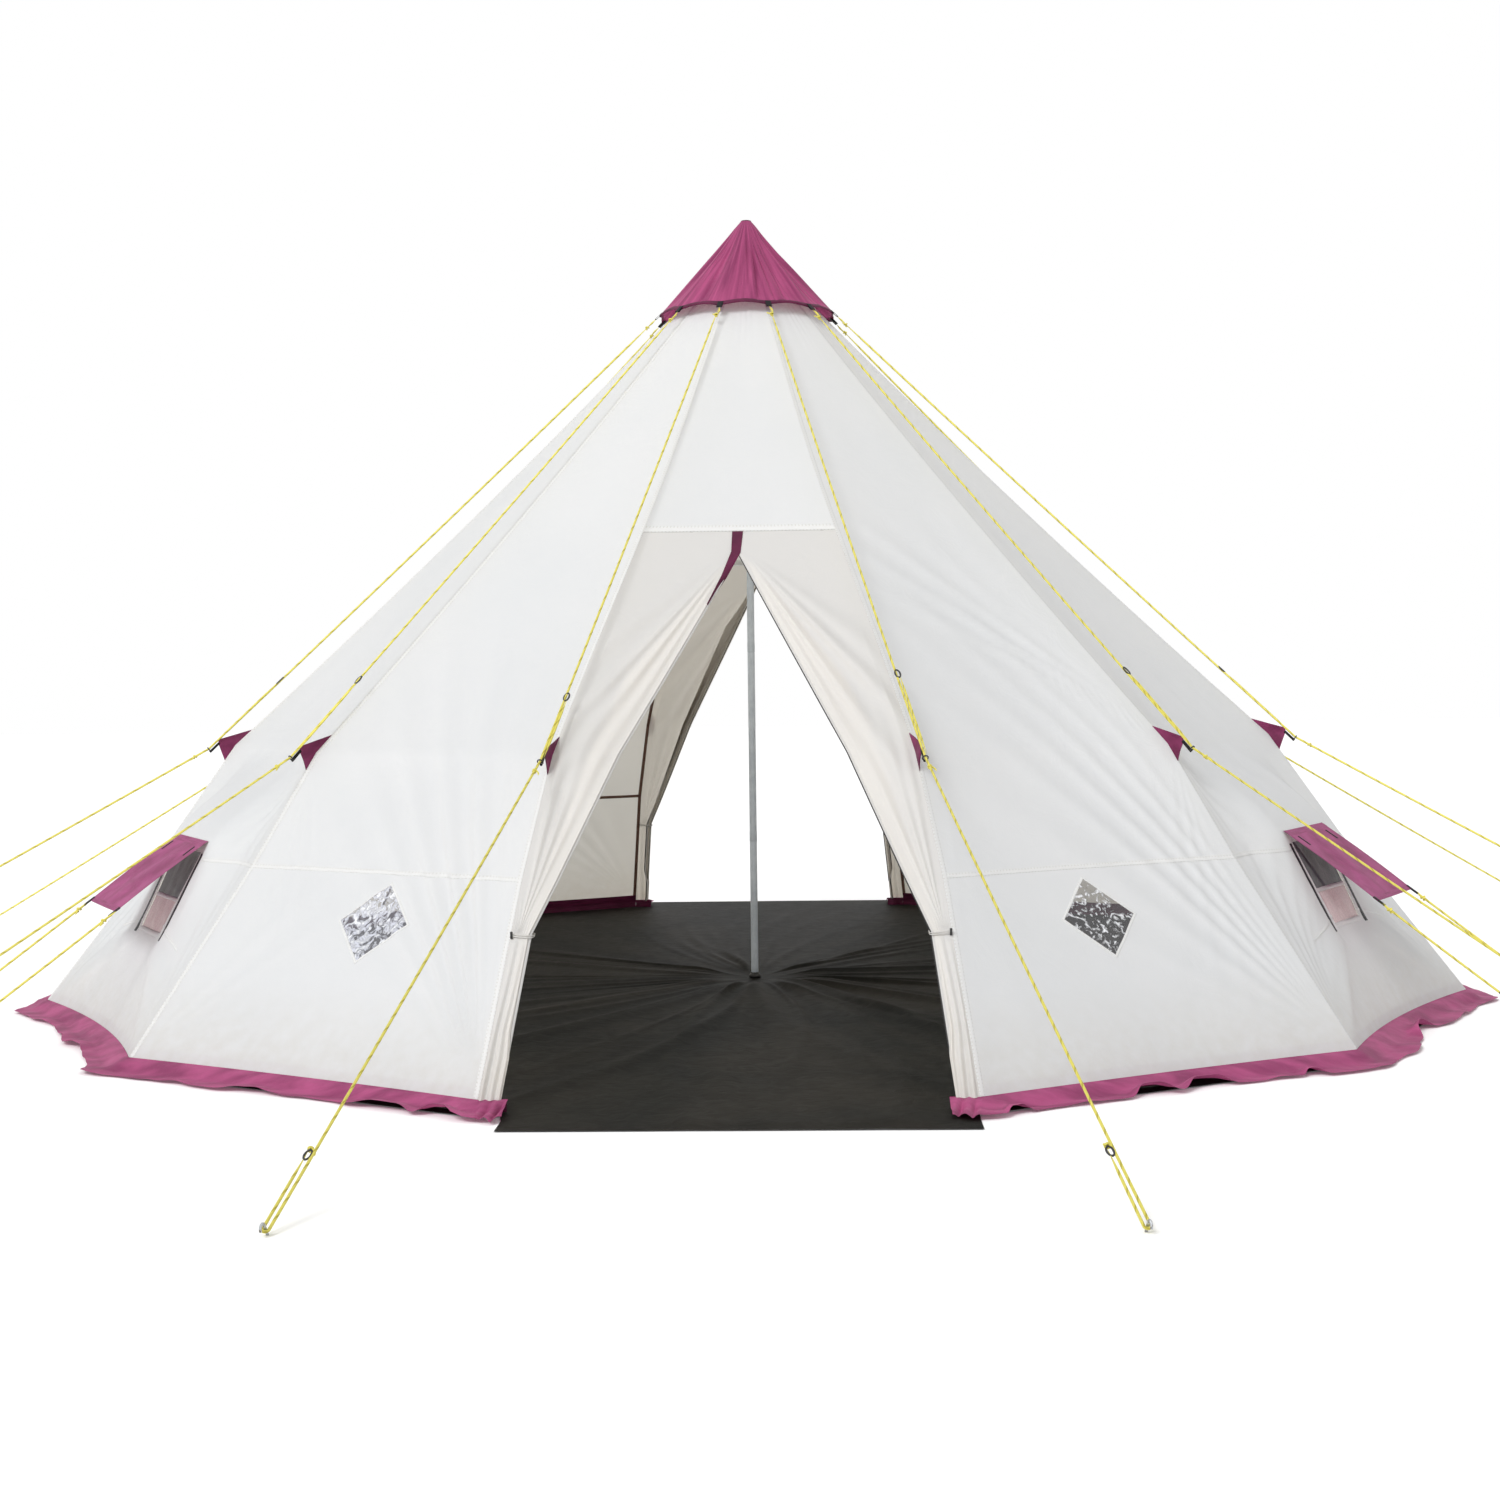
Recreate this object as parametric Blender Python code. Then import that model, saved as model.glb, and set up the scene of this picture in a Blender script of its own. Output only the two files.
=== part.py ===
"""A twelve-sided pyramid tent on one centre pole, pitched with both doors tied back.

Metres, +Z up. The origin is on the ground under the pole, and the front door faces -Y.
Angles run round the tent from the front door, positive towards +X. Every cloth piece is
a closed solid a few millimetres thick, worked out from the seams that it hangs between:
the seams run straight from hem to knee to pull-out, and sag a little on to the peak.
"""

import math

import bmesh
import bpy
from mathutils import Matrix, Vector

# Seams of the pitched tent: distance from the pole and height at each turn.
SIDES = 12
HEM_RADIUS = 2.75
HEM_HEIGHT = 0.04
KNEE_RADIUS = 2.298
KNEE_HEIGHT = 0.622
PULL_RADIUS = 2.04
PULL_HEIGHT = 0.99
PEAK_RADIUS = 0.06
PEAK_HEIGHT = 2.93
SEAM_SAG = 0.035

# Cloth between the seams, and clearances.
CLOTH = 0.004
GAP = 0.0003
OVERRUN = 0.05
FACE_SAG_SHARE = 0.012
PULL_SAG_SHARE = 0.05
SAG_ABOVE = 0.55
SAG_BELOW = 0.22
HEADER_SHARES = (1, 0.76, 0.5, 0.25, 0)
BESIDE_SHARES = (1, 0.6, 0.28, 0)
MIDDLE_SHARES = (0.6, 0.3, 0)
LOWER_SHARES = (0.66, 0.33, 0)
PLAIN_SHARES = (-1, -0.5, 0, 0.5, 1)
VENT_SHARES = (-1, -0.8, -0.42, 0, 0.42, 0.8, 1)

# Doors. The seams beside them bow apart, and each half is tied back to its own seam.
DOOR_BOW = 0.045
BOW_REACH = 1.2
HEADER_HEIGHT = 1.738
ZIP_HEAD = 0.086
TIE_HEIGHT = 0.47
TIE_WIDTH = 0.063
FOOT_WIDTH = 0.065
ZIP_WIDTH = 0.022
ZIP_THICKNESS = 0.005
ZIP_START = 0.03
ZIP_FOOT_HEIGHT = 0.14
FOLDS = 2
FOLD_DEPTH = 0.009
BUNDLE_DEPTH = 0.03
FOOT_LOOSE_SHARE = 0.3
TIED_SHARES = (1, 0.5, 0)
FOOT_SHARES = (1, 0.5, 0)

# Vents with awnings on the faces at 60 degrees, windows on the faces at 30 degrees.
AWNING_HEIGHT = 0.68
AWNING_WIDTH = 0.44
AWNING_REACH = 0.32
AWNING_DROP = 0.225
AWNING_ARCH = 0.014
AWNING_PULL = 0.085
AWNING_SHARES = (0, 0.25, 0.5, 0.75, 1)
PULL_BELOW = 0.46
PULL_FLAT_SHARE = 0.42
PULL_END_SHARE = 0.8
VENT_TOP = 0.64
VENT_BOTTOM = 0.33
VENT_TOP_WIDTH = 0.42
VENT_FOOT_WIDTH = 0.36
WINDOW_HEIGHT = 0.475
WINDOW_HALF_WIDTH = 0.138
WINDOW_HALF_HEIGHT = 0.112
WINDOW_SHIFT = 0.03

# Rain cap over the peak, with a webbing tab for each rope.
CAP_RADIUS = 0.357
CAP_STANDOFF = 0.054
CAP_RISE = 0.13
CAP_TOP_RADIUS = 0.02
CAP_SCALLOP = 0.011
CAP_SHARES = (0, 0.5, 0.8, 1)
TAB_LENGTH = 0.026
TAB_WIDTH = 0.024

# Pull-outs: a sewn triangle, a short webbing and a ring on every seam.
TRIANGLE_HEIGHT = 0.117
TRIANGLE_REACH = 0.068
WEBBING_HEIGHT = 0.014
RING_REACH = 0.10
RING_DROP = 0.013
RING_RADIUS = 0.009
RING_WIRE = 0.002
RING_STEPS = 12
WIRE_STEPS = 6

# Ropes and pegs.
ROPE_RADIUS = 0.003
RETURN_LENGTH = 0.27
RETURN_SPREAD = 0.008
TURN_STEPS = 6
PEG_CIRCLE = 3.9
DOOR_PEG_CIRCLE = 4.08
DOOR_PEG_SIDE = 0.98
ROPE_FOOT_HEIGHT = 0.014
AWNING_ROPE_RUN = 0.62
AWNING_ROPE_INSET = 0.006
PEG_RADIUS = 0.0035
PEG_LENGTH = 0.23
PEG_STANDS = 0.013
PEG_LEAN = math.radians(30)
HOOK_RADIUS = 0.011

# Cloth at ground level.
FLOOR_INSET = 0.05
FLOOR_THICKNESS = 0.002
SILL_HALF_WIDTH = 0.66
SILL_REACH = 2.90
SKIRT_WIDTH = 0.11
SKIRT_THICKNESS = 0.003
SKIRT_WAVE = 0.012
SKIRT_WAVES = 2
SKIRT_STEPS = 8

# Centre pole, in sections that plug into one another.
POLE_RADIUS = 0.0145
POLE_WALL = 0.0012
POLE_STEPS = 18
FIRST_JOINT = 0.56
SECTIONS = 4
SWAGE_LENGTH = 0.05
FOOT_RADIUS = 0.024
FOOT_HEIGHT = 0.022
SPIGOT_LENGTH = 0.045
CROWN_HEIGHT = 0.07
CROWN_RIM = 0.03
STEM_RADIUS = 0.009
STEM_TIP_RADIUS = 0.016
STEM_TIP_HEIGHT = 0.008

HALF_FACE = math.pi / SIDES
WINDOW_FACE = 2 * HALF_FACE
VENT_FACE = 4 * HALF_FACE
DOOR_TOP = HEADER_HEIGHT - ZIP_HEAD
UP = Vector((0, 0, 1))

for old in list(bpy.data.objects):
    bpy.data.objects.remove(old)


# Making objects.

def finish(name, colour, roughness=0.8, metallic=0.0):
    """A plain Principled material: colour as linear red, green and blue."""
    made = bpy.data.materials.new(name)
    made.use_nodes = True
    shader = made.node_tree.nodes["Principled BSDF"]
    shader.inputs["Base Color"].default_value = (*colour, 1)
    shader.inputs["Roughness"].default_value = roughness
    shader.inputs["Metallic"].default_value = metallic
    return made


CANVAS = finish("canvas", (0.82, 0.82, 0.80))
PLUM = finish("plum_canvas", (0.38, 0.09, 0.21))
SHEET = finish("floor_sheet", (0.045, 0.04, 0.034), 0.5)
MESH_CLOTH = finish("vent_cloth", (0.35, 0.25, 0.27))
FOIL = finish("window_foil", (0.70, 0.72, 0.74), 0.1)
POLE_METAL = finish("pole_steel", (0.36, 0.39, 0.46), 0.35, 0.9)
PLASTIC = finish("black_plastic", (0.02, 0.02, 0.02), 0.45)
ROPE = finish("yellow_rope", (0.80, 0.74, 0.10), 0.7)
PEG_METAL = finish("peg_steel", (0.45, 0.45, 0.45), 0.4, 0.9)
ZIP = finish("zip_tape", (0.55, 0.54, 0.51))


def add_object(name, data, material, pivot=None):
    """One named object, with its origin on the pivot when it has one."""
    made = bpy.data.objects.new(name, data)
    bpy.context.scene.collection.objects.link(made)
    data.materials.append(material)
    if pivot is not None:
        data.transform(Matrix.Translation(-pivot))
        made.location = pivot
    return made


def object_from(bm, name, material, pivot=None):
    """The bmesh as an object, with its faces turned outwards."""
    bmesh.ops.recalc_face_normals(bm, faces=bm.faces)
    data = bpy.data.meshes.new(name)
    bm.to_mesh(data)
    bm.free()
    return add_object(name, data, material, pivot)


def skin_faces(bm, points, closed=False):
    """Quads over a grid of points; closed joins the last column to the first."""
    verts = [[bm.verts.new(p) for p in row] for row in points]
    columns = len(points[0])
    for low, high in zip(verts, verts[1:]):
        for k in range(columns if closed else columns - 1):
            n = (k + 1) % columns
            bm.faces.new((low[k], low[n], high[n], high[k]))
    return verts


def bridge(bm, near, far):
    """Quads between two closed rings of vertices."""
    for a, b, c, d in zip(near, near[1:] + near[:1], far[1:] + far[:1], far):
        bm.faces.new((a, b, c, d))


def border(verts):
    """The vertices round the edge of a grid, in order."""
    right = [row[-1] for row in verts[1:]]
    left = [row[0] for row in verts[-2:0:-1]]
    return verts[0] + right + verts[-1][-2::-1] + left


def sheet_object(outer, inner, name, material, pivot=None):
    """A closed sheet of cloth from its outer and inner grids of points."""
    bm = bmesh.new()
    bridge(bm, border(skin_faces(bm, outer)), border(skin_faces(bm, inner)))
    return object_from(bm, name, material, pivot)


def prism_object(outline, offset, name, material):
    """A closed prism: the outline and its copy moved by offset."""
    bm = bmesh.new()
    near = [bm.verts.new(p) for p in outline]
    far = [bm.verts.new(p + offset) for p in outline]
    bm.faces.new(near)
    bm.faces.new(far)
    bridge(bm, near, far)
    return object_from(bm, name, material)


def turned_object(profile, name, material):
    """A turned body round the pole's axis; profile gives (radius, height), shut at both ends."""
    angles = [math.tau * k / POLE_STEPS for k in range(POLE_STEPS)]
    bm = bmesh.new()
    verts = skin_faces(bm, [[on_circle(a, r, h) for a in angles] for r, h in profile], True)
    bm.faces.new(verts[0])
    bm.faces.new(verts[-1])
    return smooth(object_from(bm, name, material))


def smooth(made):
    made.data.shade_smooth()
    made.data.set_sharp_from_angle(angle=math.radians(40))
    return made


def ring_of(sections, name, material):
    """A closed ring of cross-sections, each a closed loop of points."""
    bm = bmesh.new()
    verts = skin_faces(bm, sections, True)
    bridge(bm, verts[-1], verts[0])
    return object_from(bm, name, material)


def tube(name, points, radius, material):
    """A round tube along the points, shut at both ends."""
    curve = bpy.data.curves.new(name, "CURVE")
    curve.dimensions = "3D"
    curve.bevel_depth = radius
    curve.bevel_resolution = 2
    curve.use_fill_caps = True
    spline = curve.splines.new("POLY")
    spline.points.add(len(points) - 1)
    for target, point in zip(spline.points, points):
        target.co = (*point, 1)
    add_object(name, curve, material)


def boolean(target, tool, operation):
    """Applies one exact Boolean to the target and removes the tool."""
    step = target.modifiers.new(operation.lower(), "BOOLEAN")
    step.operation = operation
    step.solver = "EXACT"
    step.object = tool
    bpy.context.view_layer.update()
    evaluated = target.evaluated_get(bpy.context.evaluated_depsgraph_get())
    result = bpy.data.meshes.new_from_object(evaluated)
    target.modifiers.clear()
    target.data = result
    bpy.data.objects.remove(tool)


# The shape of the pitched cloth.

def on_circle(angle, radius, height):
    return Vector((radius * math.sin(angle), -radius * math.cos(angle), height))


def outward_of(angle):
    return on_circle(angle, 1, 0)


def along_of(angle):
    """The level direction round the tent, towards larger angles."""
    return Vector((math.cos(angle), math.sin(angle), 0))


def seam_radius(height):
    """How far a seam is from the pole at a height."""
    if height <= KNEE_HEIGHT:
        share = (height - HEM_HEIGHT) / (KNEE_HEIGHT - HEM_HEIGHT)
        return HEM_RADIUS + (KNEE_RADIUS - HEM_RADIUS) * share
    if height <= PULL_HEIGHT:
        share = (height - KNEE_HEIGHT) / (PULL_HEIGHT - KNEE_HEIGHT)
        return KNEE_RADIUS + (PULL_RADIUS - KNEE_RADIUS) * share
    share = (height - PULL_HEIGHT) / (PEAK_HEIGHT - PULL_HEIGHT)
    sag = 4 * SEAM_SAG * share * (1 - share)
    return PULL_RADIUS + (PEAK_RADIUS - PULL_RADIUS) * share - sag


def seam_height_at(radius):
    """The height where the top run of a seam is this far from the pole."""
    low, high = PULL_HEIGHT, PEAK_HEIGHT
    for _ in range(40):
        middle = (low + high) / 2
        if seam_radius(middle) > radius:
            low = middle
        else:
            high = middle
    return low


def door_bow(height):
    """How far a seam beside a door is pulled away from the door."""
    if height > PULL_HEIGHT:
        share = min((height - PULL_HEIGHT) / BOW_REACH, 1)
        return DOOR_BOW * math.cos(share * math.pi / 2) ** 2
    return DOOR_BOW * min((height - HEM_HEIGHT) / (KNEE_HEIGHT - HEM_HEIGHT), 1)


def bow_way(angle):
    """+1, -1 or 0: which way round the tent a seam beside a door is pulled."""
    for centre in (0, math.pi, -math.pi):
        if abs(abs(angle - centre) - HALF_FACE) < HALF_FACE / 2:
            return math.copysign(1, angle - centre)
    return 0


def seam_point(angle, height, inset=0.0):
    """A point on a seam; inset moves it level towards the pole."""
    point = on_circle(angle, seam_radius(height) - inset, height)
    return point + along_of(angle) * bow_way(angle) * door_bow(height)


def face_sag(height, width):
    """How far the middle of a face hangs inside the line between its two seams."""
    spread = SAG_ABOVE if height > PULL_HEIGHT else SAG_BELOW
    pull = math.exp(-(((height - PULL_HEIGHT) / spread) ** 2))
    return width * (FACE_SAG_SHARE + PULL_SAG_SHARE * pull)


def pulled_share(height, across):
    """How fully an awning's ropes pull the wall outwards: 1 along the awning, 0 far from it."""
    if height > AWNING_HEIGHT:
        rise = (height - AWNING_HEIGHT) / (PULL_HEIGHT - AWNING_HEIGHT)
    else:
        rise = (AWNING_HEIGHT - height) / PULL_BELOW
    side = (abs(across) - PULL_FLAT_SHARE) / (PULL_END_SHARE - PULL_FLAT_SHARE)
    bends = [math.cos(min(max(share, 0), 1) * math.pi / 2) ** 2 for share in (rise, side)]
    return bends[0] * bends[1]


def wall_point(face, across, height, inset=0.0, trim=0.0):
    """A point of a face; across runs from -1 to 1 between its seams, each drawn in by trim."""
    left = seam_point(face - HALF_FACE, height, inset)
    right = seam_point(face + HALF_FACE, height, inset)
    chord = right - left
    point = (left + right + chord * across) / 2 - chord.normalized() * trim * across
    offset = -face_sag(height, chord.length) * (1 - across * across)
    if abs(abs(face) - VENT_FACE) < HALF_FACE:
        pulled = pulled_share(height, across)
        offset = offset * (1 - pulled) + AWNING_PULL * pulled
    return point + outward_of(face) * offset


def between(low, high, shares):
    return [low + (high - low) * share for share in shares]


def header_heights():
    return between(HEADER_HEIGHT, PEAK_HEIGHT, HEADER_SHARES)


def beside_heights():
    """The rows beside a door's zip, which neighbouring pieces share so that their seams meet."""
    return between(PULL_HEIGHT, DOOR_TOP, BESIDE_SHARES) + between(KNEE_HEIGHT, PULL_HEIGHT, MIDDLE_SHARES)


def wall_heights():
    """The rows of a wall panel, from the peak down to the hem."""
    return header_heights() + beside_heights() + between(HEM_HEIGHT, KNEE_HEIGHT, LOWER_SHARES)


def vent_heights():
    """The same rows with two more that follow the pull of an awning."""
    extra = [AWNING_HEIGHT, (AWNING_HEIGHT + PULL_HEIGHT) / 2]
    return sorted(set(wall_heights() + extra), reverse=True)


def wall_columns(faces, shares):
    """(face, across, trim) for each column of cloth that runs over one face or several."""
    columns = [(faces[0], shares[0], GAP / 2)]
    for face in faces:
        columns += [(face, share, 0.0) for share in shares[1:]]
    columns[-1] = (faces[-1], shares[-1], GAP / 2)
    return columns


def wall_panel(name, faces, shares, heights, material):
    columns = wall_columns(faces, shares)
    skins = [[[wall_point(face, across, h, inset, trim) for face, across, trim in columns] for h in heights]
             for inset in (0, CLOTH)]
    return sheet_object(*skins, name, material)


# Pull-outs, each sewn to the panel on the side of its seam away from the door.

def cap_tab_end():
    """(radius, height) of the outer end of a cap tab, where a rope is knotted."""
    rim = Vector((CAP_RADIUS, seam_height_at(CAP_RADIUS) + CAP_STANDOFF))
    return rim + (ring_place() - rim).normalized() * TAB_LENGTH


def ring_place():
    """(radius, height) of the place where a rope runs through its ring."""
    return Vector((PULL_RADIUS + RING_REACH, PULL_HEIGHT - RING_DROP))


def rope_pull():
    """(outward, up) of the way that a rope pulls its ring."""
    kink = ring_place()
    to_cap = (cap_tab_end() - kink).normalized()
    to_peg = (Vector((PEG_CIRCLE, ROPE_FOOT_HEIGHT)) - kink).normalized()
    return (to_cap + to_peg).normalized()


def add_pull_out(panel, angle, way):
    """Joins a pull-out to a panel; way is +1 where the panel is on the seam's positive side."""
    base = seam_point(angle, PULL_HEIGHT)
    outward, along = outward_of(angle), along_of(angle) * way
    half = TRIANGLE_HEIGHT / 2
    bite = CLOTH / 2
    pull = rope_pull()
    hang = RING_RADIUS - RING_WIRE - ROPE_RADIUS - GAP
    sewn = ring_place() - pull * (hang + RING_RADIUS)
    reach = sewn.x - PULL_RADIUS + RING_WIRE
    places = [
        (seam_radius(PULL_HEIGHT + half) - PULL_RADIUS - bite, PULL_HEIGHT + half),
        (-bite, PULL_HEIGHT),
        (seam_radius(PULL_HEIGHT - half) - PULL_RADIUS - bite, PULL_HEIGHT - half),
        (TRIANGLE_REACH, sewn.y - WEBBING_HEIGHT / 2),
        (reach, sewn.y - WEBBING_HEIGHT / 2),
        (reach, sewn.y + WEBBING_HEIGHT / 2),
        (TRIANGLE_REACH, sewn.y + WEBBING_HEIGHT / 2),
    ]
    start = base + along * GAP / 2
    outline = [start + outward * out + UP * (height - PULL_HEIGHT) for out, height in places]
    boolean(panel, prism_object(outline, along * CLOTH, "pull_out_tool", PLUM), "UNION")
    across = outward * pull.x + UP * pull.y
    axis = outward * pull.y - UP * pull.x
    kink = base + outward * RING_REACH - UP * RING_DROP
    centre = kink - across * hang
    sections = []
    for k in range(RING_STEPS):
        turn = math.tau * k / RING_STEPS
        radial = across * math.cos(turn) + along * math.sin(turn)
        bends = [math.tau * m / WIRE_STEPS for m in range(WIRE_STEPS)]
        sections.append([centre + radial * (RING_RADIUS + RING_WIRE * math.cos(b))
                         + axis * RING_WIRE * math.sin(b) for b in bends])
    boolean(panel, ring_of(sections, "ring_tool", PLASTIC), "UNION")


# Wall panels with their windows and vents.

def face_prism(face, outline, shrink=0.0):
    """A prism outwards through a face from (along, height) corners, each drawn in by shrink."""
    outward, along = outward_of(face), along_of(face)
    centre = sum((Vector(p) for p in outline), Vector((0, 0))) / len(outline)
    start = outward * (PULL_RADIUS * math.cos(HALF_FACE) - OVERRUN)
    corners = []
    for place in outline:
        arm = Vector(place) - centre
        drawn = centre + arm - arm.normalized() * shrink
        corners.append(start + along * drawn.x + UP * drawn.y)
    return prism_object(corners, outward * (HEM_RADIUS - PULL_RADIUS + 2 * OVERRUN), "face_tool", FOIL)


def window_outline(side):
    x = -WINDOW_SHIFT * side
    return [(x, WINDOW_HEIGHT + WINDOW_HALF_HEIGHT), (x + WINDOW_HALF_WIDTH, WINDOW_HEIGHT),
            (x, WINDOW_HEIGHT - WINDOW_HALF_HEIGHT), (x - WINDOW_HALF_WIDTH, WINDOW_HEIGHT)]


def vent_outline():
    top, foot = VENT_TOP_WIDTH / 2, VENT_FOOT_WIDTH / 2
    return [(-top, VENT_TOP), (top, VENT_TOP), (foot, VENT_BOTTOM), (-foot, VENT_BOTTOM)]


def panel_with_pane(name, pane_name, face, shares, heights, outline, pane_material):
    """A wall panel with an opening, and the pane that fills it."""
    panel = wall_panel(name, [face], shares, heights, CANVAS)
    pane = wall_panel(pane_name, [face], shares, heights, pane_material)
    boolean(pane, face_prism(face, outline, 2 * GAP), "INTERSECT")
    boolean(panel, face_prism(face, outline), "DIFFERENCE")
    return panel


for side, word in ((-1, "left"), (1, "right")):
    window_panel = panel_with_pane("window_panel_" + word, "window_" + word, side * WINDOW_FACE,
                                   PLAIN_SHARES, wall_heights(), window_outline(side), FOIL)
    vent_panel = panel_with_pane("vent_panel_" + word, "vent_cloth_" + word, side * VENT_FACE,
                                 VENT_SHARES, vent_heights(), vent_outline(), MESH_CLOTH)
    rear_faces = sorted(side * (VENT_FACE + 2 * HALF_FACE * k) for k in (1, 2, 3))
    rear = wall_panel("rear_quarter_" + word, rear_faces, PLAIN_SHARES, wall_heights(), CANVAS)
    add_pull_out(window_panel, side * HALF_FACE, side)
    add_pull_out(vent_panel, side * 3 * HALF_FACE, side)
    for seam in (5, 7, 9):
        add_pull_out(rear, side * seam * HALF_FACE, side)
    add_pull_out(rear, side * 11 * HALF_FACE, -side)


# Doors: a header above, and two halves tied back to the seams, each edged with its zip.

def door_seam_x(height, inset=0.0):
    """How far a door's seam is from the middle of the doorway."""
    return seam_point(HALF_FACE, height, inset).x


def slant(height):
    """Distance down the door from the top of its zip."""
    run = (seam_radius(height) - seam_radius(DOOR_TOP)) * math.cos(HALF_FACE)
    return math.hypot(DOOR_TOP - height, run)


def free_edge_x(height):
    """How far the tied-back edge of a door half is from the middle of the doorway."""
    tie = door_seam_x(TIE_HEIGHT) - TIE_WIDTH
    foot = door_seam_x(HEM_HEIGHT) - FOOT_WIDTH
    if height >= TIE_HEIGHT:
        return tie * slant(height) / slant(TIE_HEIGHT)
    return tie + (foot - tie) * (TIE_HEIGHT - height) / (TIE_HEIGHT - HEM_HEIGHT)


def door_point(way, side, x, height, depth=0.0):
    """A point of a door: way is -1 at the front, x goes from the middle to the given side."""
    half = door_seam_x(height)
    level = -seam_point(HALF_FACE, height).y - face_sag(height, 2 * half) * (1 - (x / half) ** 2)
    return Vector((side * x, way * (level - depth), height))


def gathered_share(height):
    """0 where the door hangs flat, 1 where the tie gathers it."""
    if height >= TIE_HEIGHT:
        return ((HEADER_HEIGHT - height) / (HEADER_HEIGHT - TIE_HEIGHT)) ** 2
    return 1 - (TIE_HEIGHT - height) / (TIE_HEIGHT - HEM_HEIGHT) * FOOT_LOOSE_SHARE


def flap_rows():
    """(height, free edge) for the rows of a door half from the header down to the hem."""
    rows = [(HEADER_HEIGHT - GAP, GAP), (DOOR_TOP, GAP)]
    beside_zip = [DOOR_TOP - GAP] + zip_heights(ZIP_FOOT_HEIGHT)
    rows += [(h, free_edge_x(h) + ZIP_WIDTH + GAP) for h in beside_zip]
    return rows + [(h, free_edge_x(h)) for h in between(HEM_HEIGHT, ZIP_FOOT_HEIGHT - GAP, FOOT_SHARES)]


def zip_heights(foot):
    """The rows of the zip tape, from a little below the door's top down to its foot."""
    return [DOOR_TOP - ZIP_START] + beside_heights()[1:] + between(foot, TIE_HEIGHT, TIED_SHARES)


def build_flap(name, way, side):
    columns = 6 * FOLDS
    outer, inner = [], []
    for height, free in flap_rows():
        seam = door_seam_x(height, CLOTH) - GAP
        bundle = gathered_share(height)
        xs = between(seam, free, [k / columns for k in range(columns + 1)])
        folds = [FOLD_DEPTH * bundle * math.sin(math.tau * FOLDS * k / columns) for k in range(columns + 1)]
        outer.append([door_point(way, side, x, height, -fold) for x, fold in zip(xs, folds)])
        inner.append([door_point(way, side, x, height, CLOTH + BUNDLE_DEPTH * bundle - fold)
                      for x, fold in zip(xs, folds)])
    sheet_object(outer, inner, name, CANVAS)


def build_zip_edge(name, way, side):
    """The stiff zip tape down the free edge, with its origin at the top of the zip."""
    heights = zip_heights(ZIP_FOOT_HEIGHT + GAP)
    skins = []
    for depth in (0, ZIP_THICKNESS):
        skins.append([[door_point(way, side, free_edge_x(h) + across, h, depth) for across in (ZIP_WIDTH, 0)]
                      for h in heights])
    sheet_object(*skins, name, ZIP, door_point(way, side, 0, DOOR_TOP))


for way, place in ((-1, "front"), (1, "back")):
    header_face = 0 if way < 0 else math.pi
    wall_panel("header_" + place, [header_face], PLAIN_SHARES, header_heights(), CANVAS)
    for side, word in ((-1, "left"), (1, "right")):
        build_flap(f"flap_{place}_{word}", way, side)
        build_zip_edge(f"zip_edge_{place}_{word}", way, side)


# Awnings, each hinged along its sewn top edge.

def awning_frame(side):
    """The middle of an awning's hinge line, and its downward, upward and sideways directions."""
    outward = outward_of(side * VENT_FACE)
    reach = wall_point(side * VENT_FACE, 0, AWNING_HEIGHT).dot(outward) + GAP
    down = (outward * AWNING_REACH - UP * AWNING_DROP).normalized()
    normal = (outward * AWNING_DROP + UP * AWNING_REACH).normalized()
    return outward * reach + UP * AWNING_HEIGHT, down, normal, along_of(side * VENT_FACE)


def build_awning(name, side):
    top, down, normal, along = awning_frame(side)
    span = math.hypot(AWNING_REACH, AWNING_DROP)
    skins = []
    for lift in (CLOTH, 0):
        skin = []
        for share in AWNING_SHARES:
            place = top + down * span * share + normal * (lift + AWNING_ARCH * math.sin(math.pi * share))
            skin.append([place + along * across * AWNING_WIDTH / 2 for across in PLAIN_SHARES])
        skins.append(skin)
    sheet_object(*skins, name, PLUM, top)


for side, word in ((-1, "left"), (1, "right")):
    build_awning("awning_" + word, side)


# Ropes and pegs. A rope ends in a long loop round its peg.

def rope_with_loop(name, points, foot):
    """A rope through the points, round a peg at foot, and back beside itself to its runner."""
    way = (points[-1] - foot).normalized()
    aside = way.cross(UP).normalized()
    wide = PEG_RADIUS + ROPE_RADIUS + 2 * GAP
    turns = [math.pi * k / TURN_STEPS for k in range(TURN_STEPS + 1)]
    loop = [foot + (aside * math.cos(turn) - way * math.sin(turn)) * wide for turn in turns]
    end = foot + way * RETURN_LENGTH - aside * RETURN_SPREAD
    tube(name, points + loop + [end], ROPE_RADIUS, ROPE)


def guy_places(angle):
    """The cap tab, the ring and the peg of the rope on a seam."""
    tab = on_circle(angle, *cap_tab_end())
    ring = seam_point(angle, PULL_HEIGHT) + outward_of(angle) * RING_REACH - UP * RING_DROP
    if bow_way(angle):
        lean = math.asin(DOOR_PEG_SIDE / DOOR_PEG_CIRCLE)
        lean = lean if abs(angle) < math.pi / 2 else math.pi - lean
        return tab, ring, on_circle(math.copysign(lean, angle), DOOR_PEG_CIRCLE, ROPE_FOOT_HEIGHT)
    return tab, ring, on_circle(angle, PEG_CIRCLE, ROPE_FOOT_HEIGHT)


def build_guy(name, angle):
    tab, ring, peg = guy_places(angle)
    rope_with_loop(name, [tab + (ring - tab).normalized() * 2 * GAP, ring], peg)


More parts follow.
